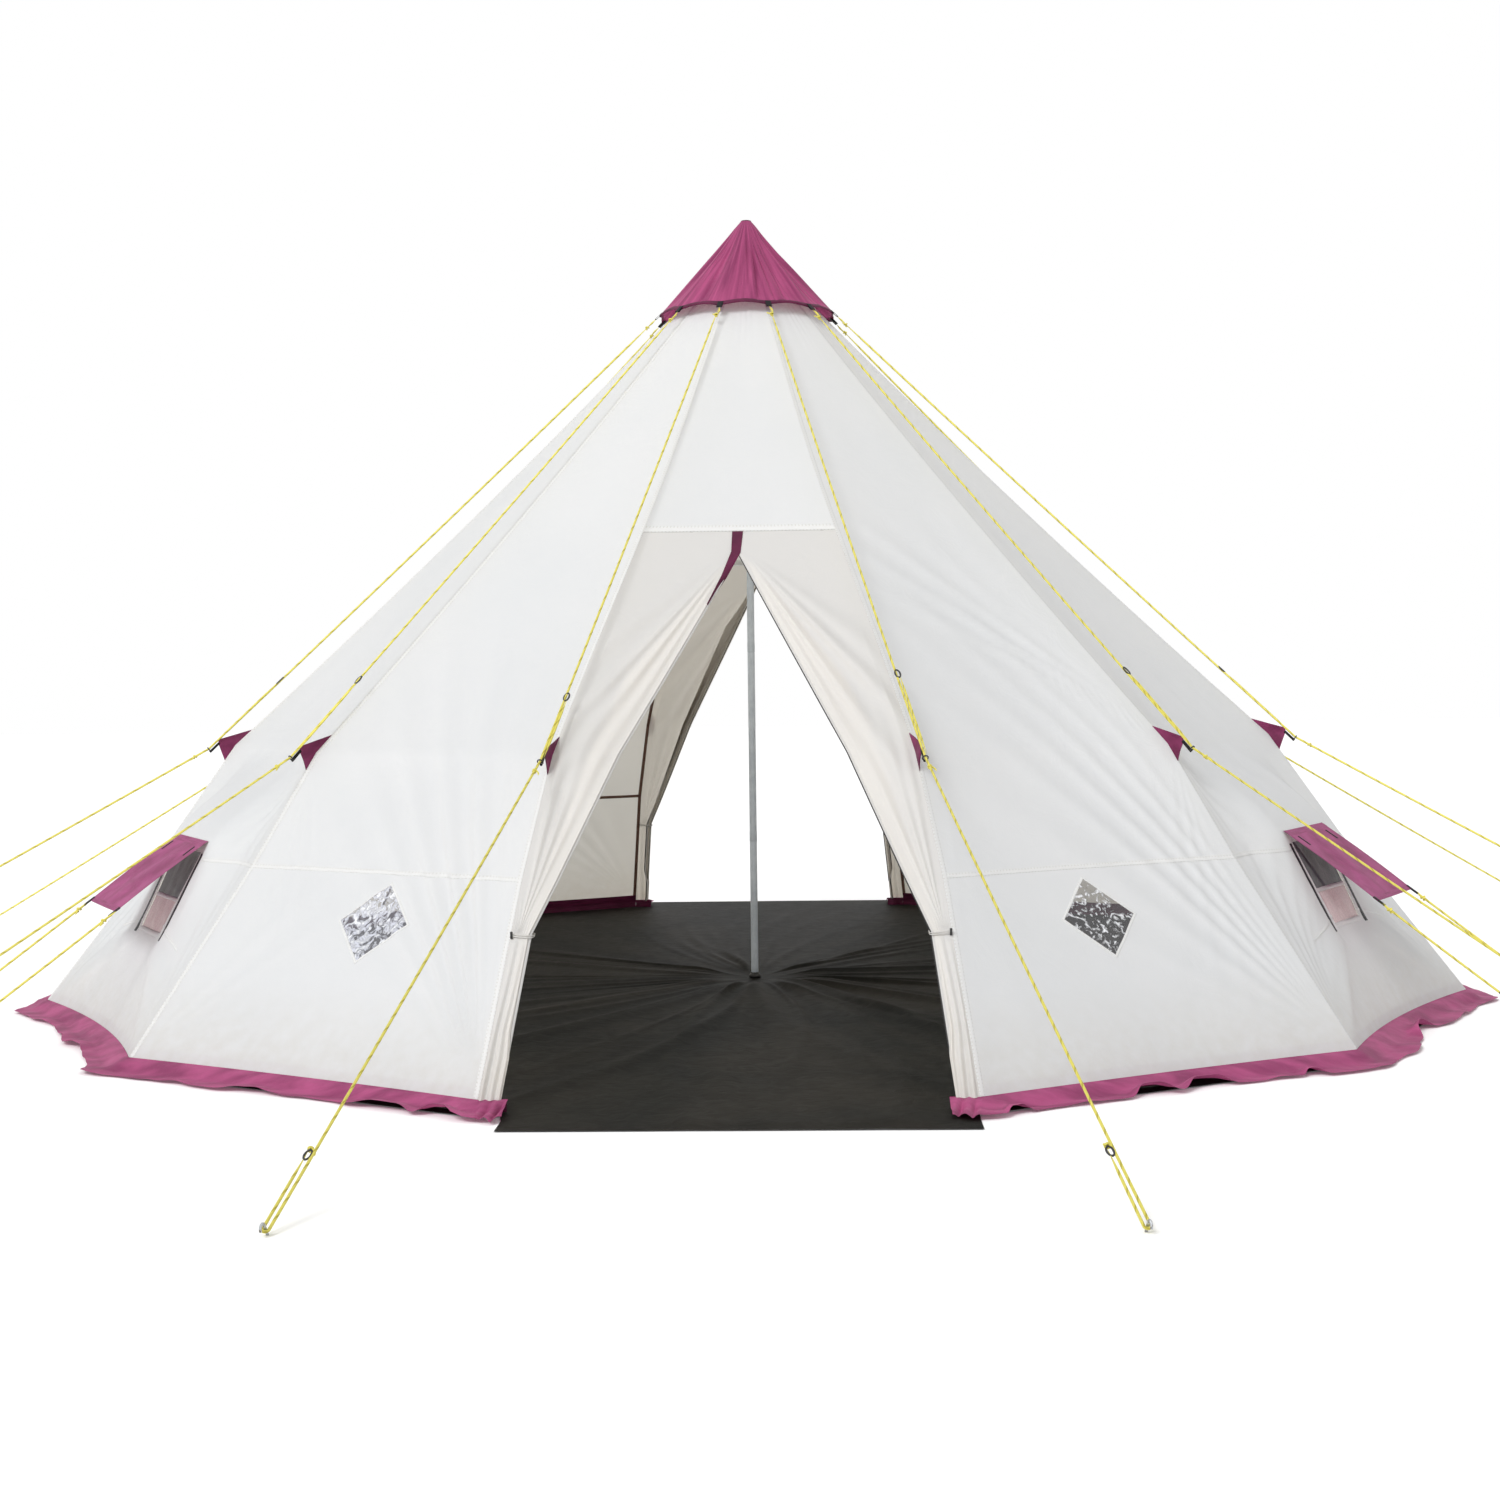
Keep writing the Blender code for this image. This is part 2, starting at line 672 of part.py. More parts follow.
def build_peg(name, angle):
    """A hooked steel peg driven in at a slant, leaning away from the tent."""
    _, ring, place = guy_places(angle)
    away = Vector((place.x - ring.x, place.y - ring.y, 0)).normalized()
    shank = UP * math.cos(PEG_LEAN) + away * math.sin(PEG_LEAN)
    square = away * math.cos(PEG_LEAN) - UP * math.sin(PEG_LEAN)
    bend = place + shank * PEG_STANDS + square * HOOK_RADIUS
    turns = [math.pi * k / TURN_STEPS for k in range(TURN_STEPS + 1)]
    hook = [bend + (shank * math.sin(turn) - square * math.cos(turn)) * HOOK_RADIUS for turn in turns]
    tube(name, [place - shank * (PEG_LENGTH - PEG_STANDS)] + hook, PEG_RADIUS, PEG_METAL)


def build_awning_rope(name, side, end):
    top, down, normal, along = awning_frame(side)
    span = math.hypot(AWNING_REACH, AWNING_DROP)
    start = top + down * (span + 2 * GAP) + normal * CLOTH / 2
    start += along * end * (AWNING_WIDTH / 2 - AWNING_ROPE_INSET)
    foot = start + outward_of(side * VENT_FACE) * AWNING_ROPE_RUN
    foot.z = ROPE_FOOT_HEIGHT
    rope_with_loop(name, [start], foot)


for number in range(SIDES):
    seam = -math.pi + HALF_FACE + number * 2 * HALF_FACE
    build_guy(f"guy_rope_{number + 1:02d}", seam)
    build_peg(f"peg_{number + 1:02d}", seam)

for side, word in ((-1, "left"), (1, "right")):
    for end, place in ((-side, "front"), (side, "rear")):
        build_awning_rope(f"awning_rope_{word}_{place}", side, end)


# Ground sheet with a strip out through each door, and the skirts outside the walls.

def sill_corners(way):
    """The strip through a door, in the order that the sheet's outline runs; way is -1 in front."""
    inner = (HEM_RADIUS - FLOOR_INSET) * math.cos(HALF_FACE)
    half = SILL_HALF_WIDTH * way
    return [Vector((half, way * inner, 0)), Vector((half, way * SILL_REACH, 0)),
            Vector((-half, way * SILL_REACH, 0)), Vector((-half, way * inner, 0))]


corners = []
for number in range(SIDES):
    seam = -math.pi + HALF_FACE + number * 2 * HALF_FACE
    corners.append(on_circle(seam, HEM_RADIUS - FLOOR_INSET, 0))
    if number == SIDES // 2 - 1:
        corners += sill_corners(-1)
prism_object(corners + sill_corners(1), UP * FLOOR_THICKNESS, "groundsheet", SHEET)


def skirt_section(face, across, trim):
    """The closed cross-section of a skirt at one place along a wall's hem."""
    out = SKIRT_WIDTH + SKIRT_WAVE * math.sin(math.pi * SKIRT_WAVES * (across + 1))
    top = HEM_HEIGHT - GAP
    middle = (top + SKIRT_THICKNESS) / 2
    places = [(0, top), (out / 2, middle), (out, SKIRT_THICKNESS + GAP), (out, GAP),
              (out / 2 - SKIRT_THICKNESS, middle - SKIRT_THICKNESS), (-CLOTH, top)]
    section = []
    for reach, height in places:
        point = wall_point(face, across, HEM_HEIGHT, -reach, trim)
        section.append(Vector((point.x, point.y, height)))
    return section


for side, word in ((-1, "left"), (1, "right")):
    faces = sorted(side * (WINDOW_FACE + 2 * HALF_FACE * k) for k in range(5))
    steps = [2 * k / SKIRT_STEPS - 1 for k in range(SKIRT_STEPS + 1)]
    skirt = bmesh.new()
    rings = skin_faces(skirt, [skirt_section(*column) for column in wall_columns(faces, steps)], True)
    skirt.faces.new(rings[0])
    skirt.faces.new(rings[-1])
    object_from(skirt, "skirt_" + word, PLUM)


# The centre pole: foot, sections, and a crown that carries the peak and the cap.

def build_section(name, low, high, last):
    """A tube, with a narrowed end on top that plugs into the next one."""
    inner = POLE_RADIUS - POLE_WALL
    neck = inner - GAP
    profile = [(inner, low), (POLE_RADIUS, low), (POLE_RADIUS, high - GAP)]
    if last:
        profile.append((inner, high - GAP))
    else:
        bore = neck - POLE_WALL
        profile += [(neck, high - GAP), (neck, high + SWAGE_LENGTH), (bore, high + SWAGE_LENGTH),
                    (bore, high - 2 * POLE_WALL), (inner, high - 2 * POLE_WALL)]
    sections = []
    for k in range(POLE_STEPS):
        sections.append([on_circle(math.tau * k / POLE_STEPS, r, h) for r, h in profile])
    smooth(ring_of(sections, name, POLE_METAL))


def crown_radius(height):
    """The radius that fills the canopy's inside at a height."""
    inside = seam_radius(height) - CLOTH
    return inside * math.cos(HALF_FACE) - face_sag(height, 2 * inside * math.sin(HALF_FACE)) - GAP


foot_low = FLOOR_THICKNESS + GAP
foot_top = foot_low + FOOT_HEIGHT
pole_top = PEAK_HEIGHT - CROWN_HEIGHT
step = (pole_top - FIRST_JOINT) / (SECTIONS - 1)
levels = [foot_top + GAP] + [FIRST_JOINT + step * k for k in range(SECTIONS)]
spigot = POLE_RADIUS - POLE_WALL - GAP
cap_top = PEAK_HEIGHT + CAP_RISE
stem_top = cap_top - CLOTH - GAP

for number, (low, high) in enumerate(zip(levels, levels[1:])):
    build_section(f"pole_section_{number + 1}", low, high, number == SECTIONS - 1)

turned_object([(FOOT_RADIUS, foot_low), (FOOT_RADIUS, foot_low + FOOT_HEIGHT / 2), (POLE_RADIUS, foot_top),
               (spigot, foot_top), (spigot, foot_top + SPIGOT_LENGTH)], "pole_foot", PLASTIC)
turned_object([(spigot, pole_top - SPIGOT_LENGTH), (spigot, pole_top), (POLE_RADIUS, pole_top),
               (crown_radius(PEAK_HEIGHT - CROWN_RIM), PEAK_HEIGHT - CROWN_RIM),
               (crown_radius(PEAK_HEIGHT), PEAK_HEIGHT), (STEM_RADIUS, PEAK_HEIGHT),
               (STEM_RADIUS, stem_top - 2 * STEM_TIP_HEIGHT), (STEM_TIP_RADIUS, stem_top - STEM_TIP_HEIGHT),
               (STEM_TIP_RADIUS, stem_top)], "pole_crown", PLASTIC)


# The rain cap: a shallow cone that stands clear of the canopy on the pole's stem.

def cap_skin(thickness):
    """Rows of points from the cap's flat top out to its scalloped rim."""
    rim = seam_height_at(CAP_RADIUS) + CAP_STANDOFF
    rows = []
    for share in CAP_SHARES:
        row = []
        for k in range(2 * SIDES):
            middle = k % 2 == 0
            reach = CAP_TOP_RADIUS + (CAP_RADIUS - CAP_TOP_RADIUS) * share
            reach = reach * (math.cos(HALF_FACE) if middle else 1) - thickness * share
            lift = CAP_SCALLOP * share ** 4 if middle else 0
            row.append(on_circle(k * HALF_FACE, reach, between(cap_top, rim, (share,))[0] + lift
                                 - thickness * (1 - share)))
        rows.append(row)
    return rows


cone = bmesh.new()
top_skin, under_skin = (skin_faces(cone, cap_skin(thickness), True) for thickness in (0, CLOTH))
cone.faces.new(top_skin[0])
cone.faces.new(under_skin[0])
bridge(cone, top_skin[-1], under_skin[-1])
rain_cap = object_from(cone, "rain_cap", PLUM)

for number in range(SIDES):
    seam = HALF_FACE + number * 2 * HALF_FACE
    end = on_circle(seam, *cap_tab_end())
    run = ring_place() - cap_tab_end()
    run = (outward_of(seam) * run.x + UP * run.y).normalized()
    corner = along_of(seam) * TAB_WIDTH / 2
    lift = run.cross(along_of(seam)).normalized() * CLOTH
    root = end - run * (TAB_LENGTH + CLOTH)
    tab = [point - lift / 2 for point in (root - corner, root + corner, end + corner, end - corner)]
    boolean(rain_cap, prism_object(tab, lift, "tab_tool", PLASTIC), "UNION")
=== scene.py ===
"""A pyramid tent on a centre pole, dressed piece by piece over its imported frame."""
import math

import bmesh
import bpy
import numpy as np
from mathutils import Matrix


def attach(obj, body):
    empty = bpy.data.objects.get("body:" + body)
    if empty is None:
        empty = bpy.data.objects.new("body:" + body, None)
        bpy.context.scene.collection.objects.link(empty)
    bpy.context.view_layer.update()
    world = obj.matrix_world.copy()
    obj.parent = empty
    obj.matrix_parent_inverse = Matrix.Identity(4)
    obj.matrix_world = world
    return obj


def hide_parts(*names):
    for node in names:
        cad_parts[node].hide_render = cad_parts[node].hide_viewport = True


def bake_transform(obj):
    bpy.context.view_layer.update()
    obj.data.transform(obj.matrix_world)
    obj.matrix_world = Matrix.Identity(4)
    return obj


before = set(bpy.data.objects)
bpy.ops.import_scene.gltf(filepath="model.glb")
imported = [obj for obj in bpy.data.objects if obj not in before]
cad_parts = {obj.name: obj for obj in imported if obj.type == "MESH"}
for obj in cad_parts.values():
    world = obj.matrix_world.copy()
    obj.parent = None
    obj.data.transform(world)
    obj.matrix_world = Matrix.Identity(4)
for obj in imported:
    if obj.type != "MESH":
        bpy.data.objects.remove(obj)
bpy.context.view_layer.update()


# Camera: it stands six metres in front of the door at standing height, a little to the right,
# with the 51 mm lens that fits the hem corners, pull-outs, cap and ropes of the photograph.

EYE = (0.2631, -8.6402, 1.2443)
HEADING = -0.0315
TILT = -0.0363
ROLL = 0.012
LENS_MM = 51.1

ahead = np.array([math.sin(HEADING) * math.cos(TILT), math.cos(HEADING) * math.cos(TILT), math.sin(TILT)])
level = np.array([math.cos(HEADING), -math.sin(HEADING), 0.0])
above = np.cross(level, ahead)
right = math.cos(ROLL) * level - math.sin(ROLL) * above
upright = math.sin(ROLL) * level + math.cos(ROLL) * above
lens = bpy.data.cameras.new("camera")
lens.lens = LENS_MM
lens.sensor_width = 36.0
lens.clip_end = 100.0
camera = bpy.data.objects.new("camera", lens)
bpy.context.scene.collection.objects.link(camera)
camera.matrix_world = Matrix([[*row, place] for row, place in zip(np.stack([right, upright, -ahead], 1), EYE)]
                             + [[0, 0, 0, 1]])
bpy.context.scene.camera = camera


# Groundsheet: one piece of coated, tightly woven sheeting sewn in under the walls, with a strip
# out through each doorway. It lies loose on the ground, and creases run out from the pole's foot.

SEAMS = 12
HALF_FACE = math.pi / SEAMS
HEM_RADIUS = 2.75
SHEET_MARGIN = 0.05
BOW_INSET = 0.045
SHEET_TOP = 0.0021
STRIP_SIDES = {0.0: (0.63, 0.705), math.pi: (0.66, 0.66)}
STRIP_REACH = 2.9
STRIP_ROOT = 2.608


def srgb(code):
    """Linear red, green, blue and alpha for a six-figure hex colour as seen on a screen."""
    parts = [int(code[k:k + 2], 16) / 255 for k in (1, 3, 5)]
    return tuple(p / 12.92 if p <= 0.04045 else ((p + 0.055) / 1.055) ** 2.4 for p in parts) + (1.0,)


def add_node(tree, kind, inputs=None, **settings):
    """A shader node with its settings. Each input is given a value, or an output of another node to follow;
    for a node itself, that is its first output in use."""
    made = tree.nodes.new(f"ShaderNode{kind}")
    for key, value in settings.items():
        setattr(made, key, value)
    for key, value in (inputs or {}).items():
        if isinstance(value, bpy.types.Node):
            value = next(output for output in value.outputs if output.enabled)
        if isinstance(value, bpy.types.NodeSocket):
            tree.links.new(value, made.inputs[key])
        else:
            made.inputs[key].default_value = value
    return made


def new_material(name):
    """An empty material's tree and its output node."""
    made = bpy.data.materials.new(name)
    made.use_nodes = True
    made.node_tree.nodes.clear()
    return made, made.node_tree, made.node_tree.nodes.new("ShaderNodeOutputMaterial")


def grid_piece(name, grids, material, flat_of=None, wraps=False, turned=False):
    """One mesh through grids of points, each rows by columns by 3, with a face in every grid cell.

    flat_of gives a grid's places on the flat piece in metres, kept as its UV map. With wraps, the last
    column joins the first, and flat_of gives one column more. turned makes the faces look the other way."""
    vertices, faces, places = [], [], []
    first = 0
    for grid in grids:
        rows, columns = grid.shape[:2]
        across = columns + 1 if wraps else columns
        row, column = np.meshgrid(np.arange(rows), np.arange(across), indexing="ij")
        index = first + row * columns + column % columns
        quads = np.stack([index[:-1, :-1], index[:-1, 1:], index[1:, 1:], index[1:, :-1]], -1).reshape(-1, 4)
        flat = flat_of(grid) if flat_of else np.zeros((rows, across, 2))
        corners = np.stack([flat[:-1, :-1], flat[:-1, 1:], flat[1:, 1:], flat[1:, :-1]], 2).reshape(-1, 4, 2)
        if turned:
            quads, corners = quads[:, ::-1], corners[:, ::-1]
        vertices.append(grid.reshape(-1, 3))
        faces.append(quads)
        places.append(corners.reshape(-1, 2))
        first += rows * columns
    mesh = bpy.data.meshes.new(name)
    mesh.from_pydata(np.concatenate(vertices), [], np.concatenate(faces).tolist())
    flat_map = mesh.uv_layers.new(name="flat")
    flat_map.data.foreach_set("uv", np.concatenate(places).ravel())
    mesh.polygons.foreach_set("use_smooth", np.ones(len(mesh.polygons), bool))
    mesh.materials.append(material)
    mesh.update()
    made = bpy.data.objects.new(name, mesh)
    bpy.context.scene.collection.objects.link(made)
    return made


def ray_reach(way, normal_angle, distance):
    """How far a level ray from the pole runs before it meets a line at that distance and direction."""
    lean = np.cos(way - normal_angle)
    return np.where(lean > 0.05, distance / np.maximum(lean, 0.05), 99.0)


def sheet_reach(way):
    """Distance from the pole to the sheet's edge: a twelve-sided margin under the skirts, which is
    narrower on the two vent faces, or a doorway's strip."""
    apothem = (HEM_RADIUS + SHEET_MARGIN) * math.cos(HALF_FACE)
    hem = np.min([ray_reach(way, k * 2 * HALF_FACE, apothem - BOW_INSET * (k in (2, SEAMS - 2)))
                  for k in range(SEAMS)], 0)
    strips = []
    for middle, widths in STRIP_SIDES.items():
        sides = [ray_reach(way, middle + turn * math.pi / 2, width) for turn, width in zip((-1, 1), widths)]
        strips.append(np.min([ray_reach(way, middle, STRIP_REACH), *sides], 0))
    inside = [np.where(np.cos(way - middle) > 0.9, strip, 0) for middle, strip in zip(STRIP_SIDES, strips)]
    return np.maximum(hem, np.max(inside, 0))


def creases(way, reach, seed, count, depth, start, longest, between=(-math.pi, math.pi), power=2):
    """Ridges that run out from the middle: each a narrow bell across its own slightly bent line, that
    rises at its start and fades along its length. power 2 makes round ridges, 1 sharp ones."""
    chance = np.random.default_rng(seed)
    total = np.zeros(np.broadcast(way, reach).shape)
    for _ in range(count):
        heading, bend = chance.uniform(*between), chance.uniform(-0.12, 0.12)
        width, length = chance.uniform(0.012, 0.04), chance.uniform(0.35, 1.0) * longest
        height = depth * chance.uniform(0.35, 1.0)
        off = np.angle(np.exp(1j * (way - heading - bend * reach)))
        along = np.clip((reach - start) / 0.25, 0, 1) * np.exp(-(reach / length) ** 3)
        total += height * along * np.exp(-np.abs(off * reach / width / (0.6 + 0.5 * reach)) ** power)
    return total


# The real sheeting is black-green coated weave with a soft gloss. It is pulled towards the pole, and
# its sheen is painted as pale and dark streaks that run out from there and as broad patches; its own
# map gives the direction from the pole.
sheeting, tree, out = new_material("coated_ground_sheeting")
place = add_node(tree, "TexCoord").outputs["Object"]
from_pole = add_node(tree, "UVMap", uv_map="flat")
streaks = add_node(tree, "TexNoise", {"Vector": from_pole, "Scale": 5.0, "Detail": 5.0})
patches = add_node(tree, "TexNoise", {"Vector": place, "Scale": 1.3, "Detail": 5.0, "Distortion": 0.8})
both = add_node(tree, "Mix", {"Factor": 0.5, "A": streaks, "B": patches})
crumple = add_node(tree, "TexNoise", {"Vector": place, "Scale": 16.0, "Detail": 6.0, "Distortion": 1.2})
# The tape weave is 2 mm; it is drawn at 8 mm so that it can still be seen from a few metres.
weave = add_node(tree, "TexChecker", {"Vector": place, "Scale": 125.0})
# Painted sheen: the streaks and patches move the tone between near black and a paler brown.
tone = add_node(tree, "ValToRGB", {"Fac": both})
for stop, place_on, code in zip(tone.color_ramp.elements, (0.4, 0.6), ("#090a07", "#221f1a")):
    stop.position, stop.color = place_on, srgb(code)
relief = add_node(tree, "Bump", {"Height": crumple, "Strength": 0.35, "Distance": 0.006})
fine = add_node(tree, "Bump", {
    "Height": weave.outputs["Fac"], "Strength": 0.15, "Distance": 0.0005, "Normal": relief})
gloss = add_node(tree, "MapRange", {"Value": crumple, "To Min": 0.55, "To Max": 0.72})
coat = add_node(tree, "BsdfPrincipled", {
    "Base Color": tone, "Normal": fine, "Roughness": gloss, "IOR": 1.5, "Specular IOR Level": 0.1})
tree.links.new(coat.outputs[0], out.inputs[0])

# Directions are even all round, with more at the corners of the hem and of the strips' ends, and near
# where a strip leaves the hem.
edge_turns = [math.atan2(width, y) for width in (0.63, 0.66, 0.705) for y in (STRIP_REACH, STRIP_ROOT)]
corner_turns = [[s * t, s * (math.pi - t)] for s in (-1, 1) for t in (HALF_FACE, *edge_turns)]
turns = np.unique(np.round(np.concatenate([np.linspace(-math.pi, math.pi, 541)[:-1], *corner_turns]), 6))
shares = np.linspace(0.004, 1, 96)[:, None]
reach = shares * sheet_reach(turns)[None, :]
rise = (creases(turns[None, :], reach, 11, 70, 0.0085, 0.06, 2.4)
        + creases(turns[None, :], reach, 4, 16, 0.013, 0.15, 5.5, (-1.0, 1.0), 1.4))
# The strip's end is folded over and sewn a hand's width from its edge, which leaves a low ridge.
rise += 0.003 * np.exp(-((np.abs(reach * np.cos(turns)) - STRIP_REACH + 0.11) / 0.006) ** 2)
rise += 0.0012 * (1 + np.sin(2.1 * reach * np.cos(turns) + 1.3) * np.sin(3.3 * reach * np.sin(turns)))
rise *= np.clip((reach - 0.05) / 0.2, 0, 1) * np.clip((sheet_reach(turns)[None, :] - reach) / 0.08, 0.2, 1)
floor_points = np.stack([reach * np.sin(turns), -reach * np.cos(turns), SHEET_TOP + rise], -1)
circle = np.append(turns, turns[0])
direction = np.stack([np.cos(circle) + 0 * shares, np.sin(circle) + 0 * shares], -1)
groundsheet = grid_piece("groundsheet_cloth", [floor_points], sheeting, lambda grid: direction, wraps=True,
                         turned=True)
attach(groundsheet, "tent")
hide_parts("groundsheet")


# Centre pole: four lengths of galvanised steel tube, each with a narrowed end that plugs into the
# next, on a plastic foot. A plastic crown on top fills the peak of the cloth and lifts the cap.

POLE_RADIUS = 0.0145
POLE_LEVELS = (0.0246, 0.56, 1.3267, 2.0933, 2.86)
POLE_FLARE = 0.0006
FLARE_LENGTH = 0.036
PLUG_RADIUS = 0.013
PEAK_HEIGHT = 2.93
CROWN_PROFILE = ((0.013, 2.82), (0.013, 2.86), (0.015, 2.8604), (0.03, 2.874), (0.0455, 2.894),
                 (0.0475, 2.9), (0.046, 2.906), (0.028, 2.93), (0.0098, 2.9303), (0.009, 2.933),
                 (0.009, 3.03), (0.0155, 3.037), (0.016, 3.045), (0.015, 3.0545), (0.0, 3.055))
FOOT_PROFILE = ((0.0, 0.0026), (0.022, 0.0026), (0.024, 0.0042), (0.024, 0.0125), (0.0225, 0.0145),
                (0.0165, 0.0205), (0.0146, 0.024), (0.0129, 0.0241), (0.0128, 0.06))


def turned_grid(profile, steps):
    """A profile of (radius, height) pairs, lowest first, carried once round the pole's axis."""
    radius, height = np.array(profile).T[:, :, None]
    turn = np.arange(steps) * 2 * math.pi / steps
    return np.stack([radius * np.sin(turn), -radius * np.cos(turn), height + 0 * turn], -1)


# Galvanised tube is a dull blue-grey metal with long faint draw marks and a cloudy zinc bloom.
steel, tree, out = new_material("galvanised_pole_tube")
place = add_node(tree, "TexCoord").outputs["Object"]
long_marks = add_node(tree, "Mapping", {"Vector": place, "Scale": (260.0, 260.0, 1.6)})
marks = add_node(tree, "TexNoise", {"Vector": long_marks, "Scale": 1.0, "Detail": 3.0})
bloom = add_node(tree, "TexNoise", {"Vector": place, "Scale": 38.0, "Detail": 4.0})
tone = add_node(tree, "Mix", {"Factor": bloom, "A": srgb("#c2ccd8"), "B": srgb("#e6eef6")}, data_type="RGBA")
gloss = add_node(tree, "MapRange", {"Value": marks, "To Min": 0.3, "To Max": 0.46})
drawn = add_node(tree, "Bump", {"Height": marks, "Strength": 0.12, "Distance": 0.0004})
metal = add_node(tree, "BsdfPrincipled", {
    "Base Color": tone, "Metallic": 0.2, "Roughness": gloss, "Normal": drawn})
tree.links.new(metal.outputs[0], out.inputs[0])

# Moulded black plastic has a fine spark-eroded grain and is a little greyer where it is handled.
plastic, tree, out = new_material("black_moulded_plastic")
place = add_node(tree, "TexCoord").outputs["Object"]
grain = add_node(tree, "TexNoise", {"Vector": place, "Scale": 700.0, "Detail": 2.0})
handled = add_node(tree, "TexNoise", {"Vector": place, "Scale": 45.0, "Detail": 3.0})
tone = add_node(tree, "Mix", {"Factor": handled, "A": srgb("#141414"), "B": srgb("#2b2a2a")},
                data_type="RGBA")
pitted = add_node(tree, "Bump", {"Height": grain, "Strength": 0.2, "Distance": 0.0002})
gloss = add_node(tree, "MapRange", {"Value": handled, "To Min": 0.38, "To Max": 0.55})
moulding = add_node(tree, "BsdfPrincipled", {"Base Color": tone, "Roughness": gloss, "Normal": pitted})
tree.links.new(moulding.outputs[0], out.inputs[0])

for number, (low, high) in enumerate(zip(POLE_LEVELS, POLE_LEVELS[1:])):
    wide = POLE_RADIUS + (POLE_FLARE if number else 0)
    tube_profile = [(POLE_RADIUS - 0.0012, low + 0.004), (wide - 0.0011, low + 0.0001),
                    (wide - 0.0002, low + 0.0003), (wide, low + 0.0012), (wide, low + FLARE_LENGTH),
                    (POLE_RADIUS, low + 0.042), (POLE_RADIUS, (low + high) / 2), (POLE_RADIUS, high - 0.0016),
                    (POLE_RADIUS - 0.0004, high - 0.0006), (POLE_RADIUS - 0.0015, high - 0.0004)]
    if number < 3:
        tube_profile += [(PLUG_RADIUS, high - 0.0003), (PLUG_RADIUS, high + 0.046), (0.0124, high + 0.048)]
    length = grid_piece(f"pole_tube_{number + 1}", [turned_grid(tube_profile, 40)], steel, wraps=True)
    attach(length, "tent")
    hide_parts(f"pole_section_{number + 1}")

pole_plug = grid_piece("pole_foot_plug", [turned_grid(FOOT_PROFILE, 40)], plastic, wraps=True)
crown = grid_piece("peak_crown", [turned_grid(CROWN_PROFILE, 40)], plastic, wraps=True)
for piece, node in ((pole_plug, "pole_foot"), (crown, "pole_crown")):
    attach(piece, "tent")
    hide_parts(node)


# Canopy walls: one long tapered cut of off-white coated polyester-cotton for each face, sewn edge to
# edge. The ropes pull the seams out to a shoulder, and the cloth between them hangs a little inside.

HEM_HEIGHT = 0.04
KNEE_RADIUS = 2.298
KNEE_HEIGHT = 0.622
PULL_RADIUS = 2.04
PULL_HEIGHT = 0.99
PEAK_RADIUS = 0.06
SEAM_SAG = 0.035
FACE_SAG_SHARE = 0.012
PULL_SAG_SHARE = 0.05
SAG_ABOVE = 0.55
SAG_BELOW = 0.22
DOOR_BOW = 0.045
BOW_REACH = 1.2
HEADER_HEIGHT = 1.738
AWNING_HEIGHT = 0.68
AWNING_PULL = 0.085
PATCH_FOOT = 0.335
PATCH_PULL = 0.17
HEM_BOW = 0.036
WINDOW_FACE = 2 * HALF_FACE
VENT_FACE = 4 * HALF_FACE
SIDES = ((-1, "left"), (1, "right"))
SEAM_ANGLES = [-math.pi + HALF_FACE + number * 2 * HALF_FACE for number in range(SEAMS)]
# Faces are numbered from the front door, right side up to 5 and left side down to -5; 6 is the back door.
WALL_NUMBERS = [number for number in range(-5, 6) if number]


def on_circle(angle, radius, height):
    """The point at that angle from the front, distance from the pole, and height."""
    angle, radius, height = np.broadcast_arrays(angle, radius, height)
    return np.stack([radius * np.sin(angle), -radius * np.cos(angle), height], -1)


def outward_of(angle):
    """The level direction away from the pole, at that angle from the front."""
    return np.array([math.sin(angle), -math.cos(angle), 0.0])


def along_of(angle):
    """The level direction round the tent, towards larger angles."""
    return np.array([math.cos(angle), math.sin(angle), 0.0])


UP = np.array([0.0, 0.0, 1.0])


def seam_radius(height):
    """Distance of a seam from the pole: two straight runs up to the shoulder, then a hanging arc."""
    low = np.interp(height, (HEM_HEIGHT, KNEE_HEIGHT, PULL_HEIGHT), (HEM_RADIUS, KNEE_RADIUS, PULL_RADIUS))
    share = np.clip((height - PULL_HEIGHT) / (PEAK_HEIGHT - PULL_HEIGHT), 0, 1)
    return low + (PEAK_RADIUS - PULL_RADIUS) * share - 4 * SEAM_SAG * share * (1 - share)


def door_bow(height):
    """How far a tied-back door pulls its seam sideways: all of it at the shoulder, none at peak or hem."""
    upper = np.cos(np.clip((height - PULL_HEIGHT) / BOW_REACH, 0, 1) * math.pi / 2) ** 2
    lower = np.clip((height - HEM_HEIGHT) / (KNEE_HEIGHT - HEM_HEIGHT), 0, 1)
    return DOOR_BOW * np.where(height > PULL_HEIGHT, upper, lower)


def bow_way(angle):
    """+1, -1 or 0: which way round the tent a seam beside a door is pulled."""
    for middle in (0, math.pi, -math.pi):
        if abs(abs(angle - middle) - HALF_FACE) < HALF_FACE / 2:
            return math.copysign(1, angle - middle)
    return 0


def seam_point(angle, height):
    """A seam's point at that height: its distance out from the pole, and a door's pull along the wall."""
    bow = (bow_way(angle) * door_bow(height))[..., None]
    return on_circle(angle, seam_radius(height), height) + along_of(angle) * bow


def face_sag(height, width):
    """How far a face's middle hangs in: a share of its width, with a bell-shaped rise at the shoulder."""
    spread = np.where(height > PULL_HEIGHT, SAG_ABOVE, SAG_BELOW)
    return width * (FACE_SAG_SHARE + PULL_SAG_SHARE * np.exp(-((height - PULL_HEIGHT) / spread) ** 2))


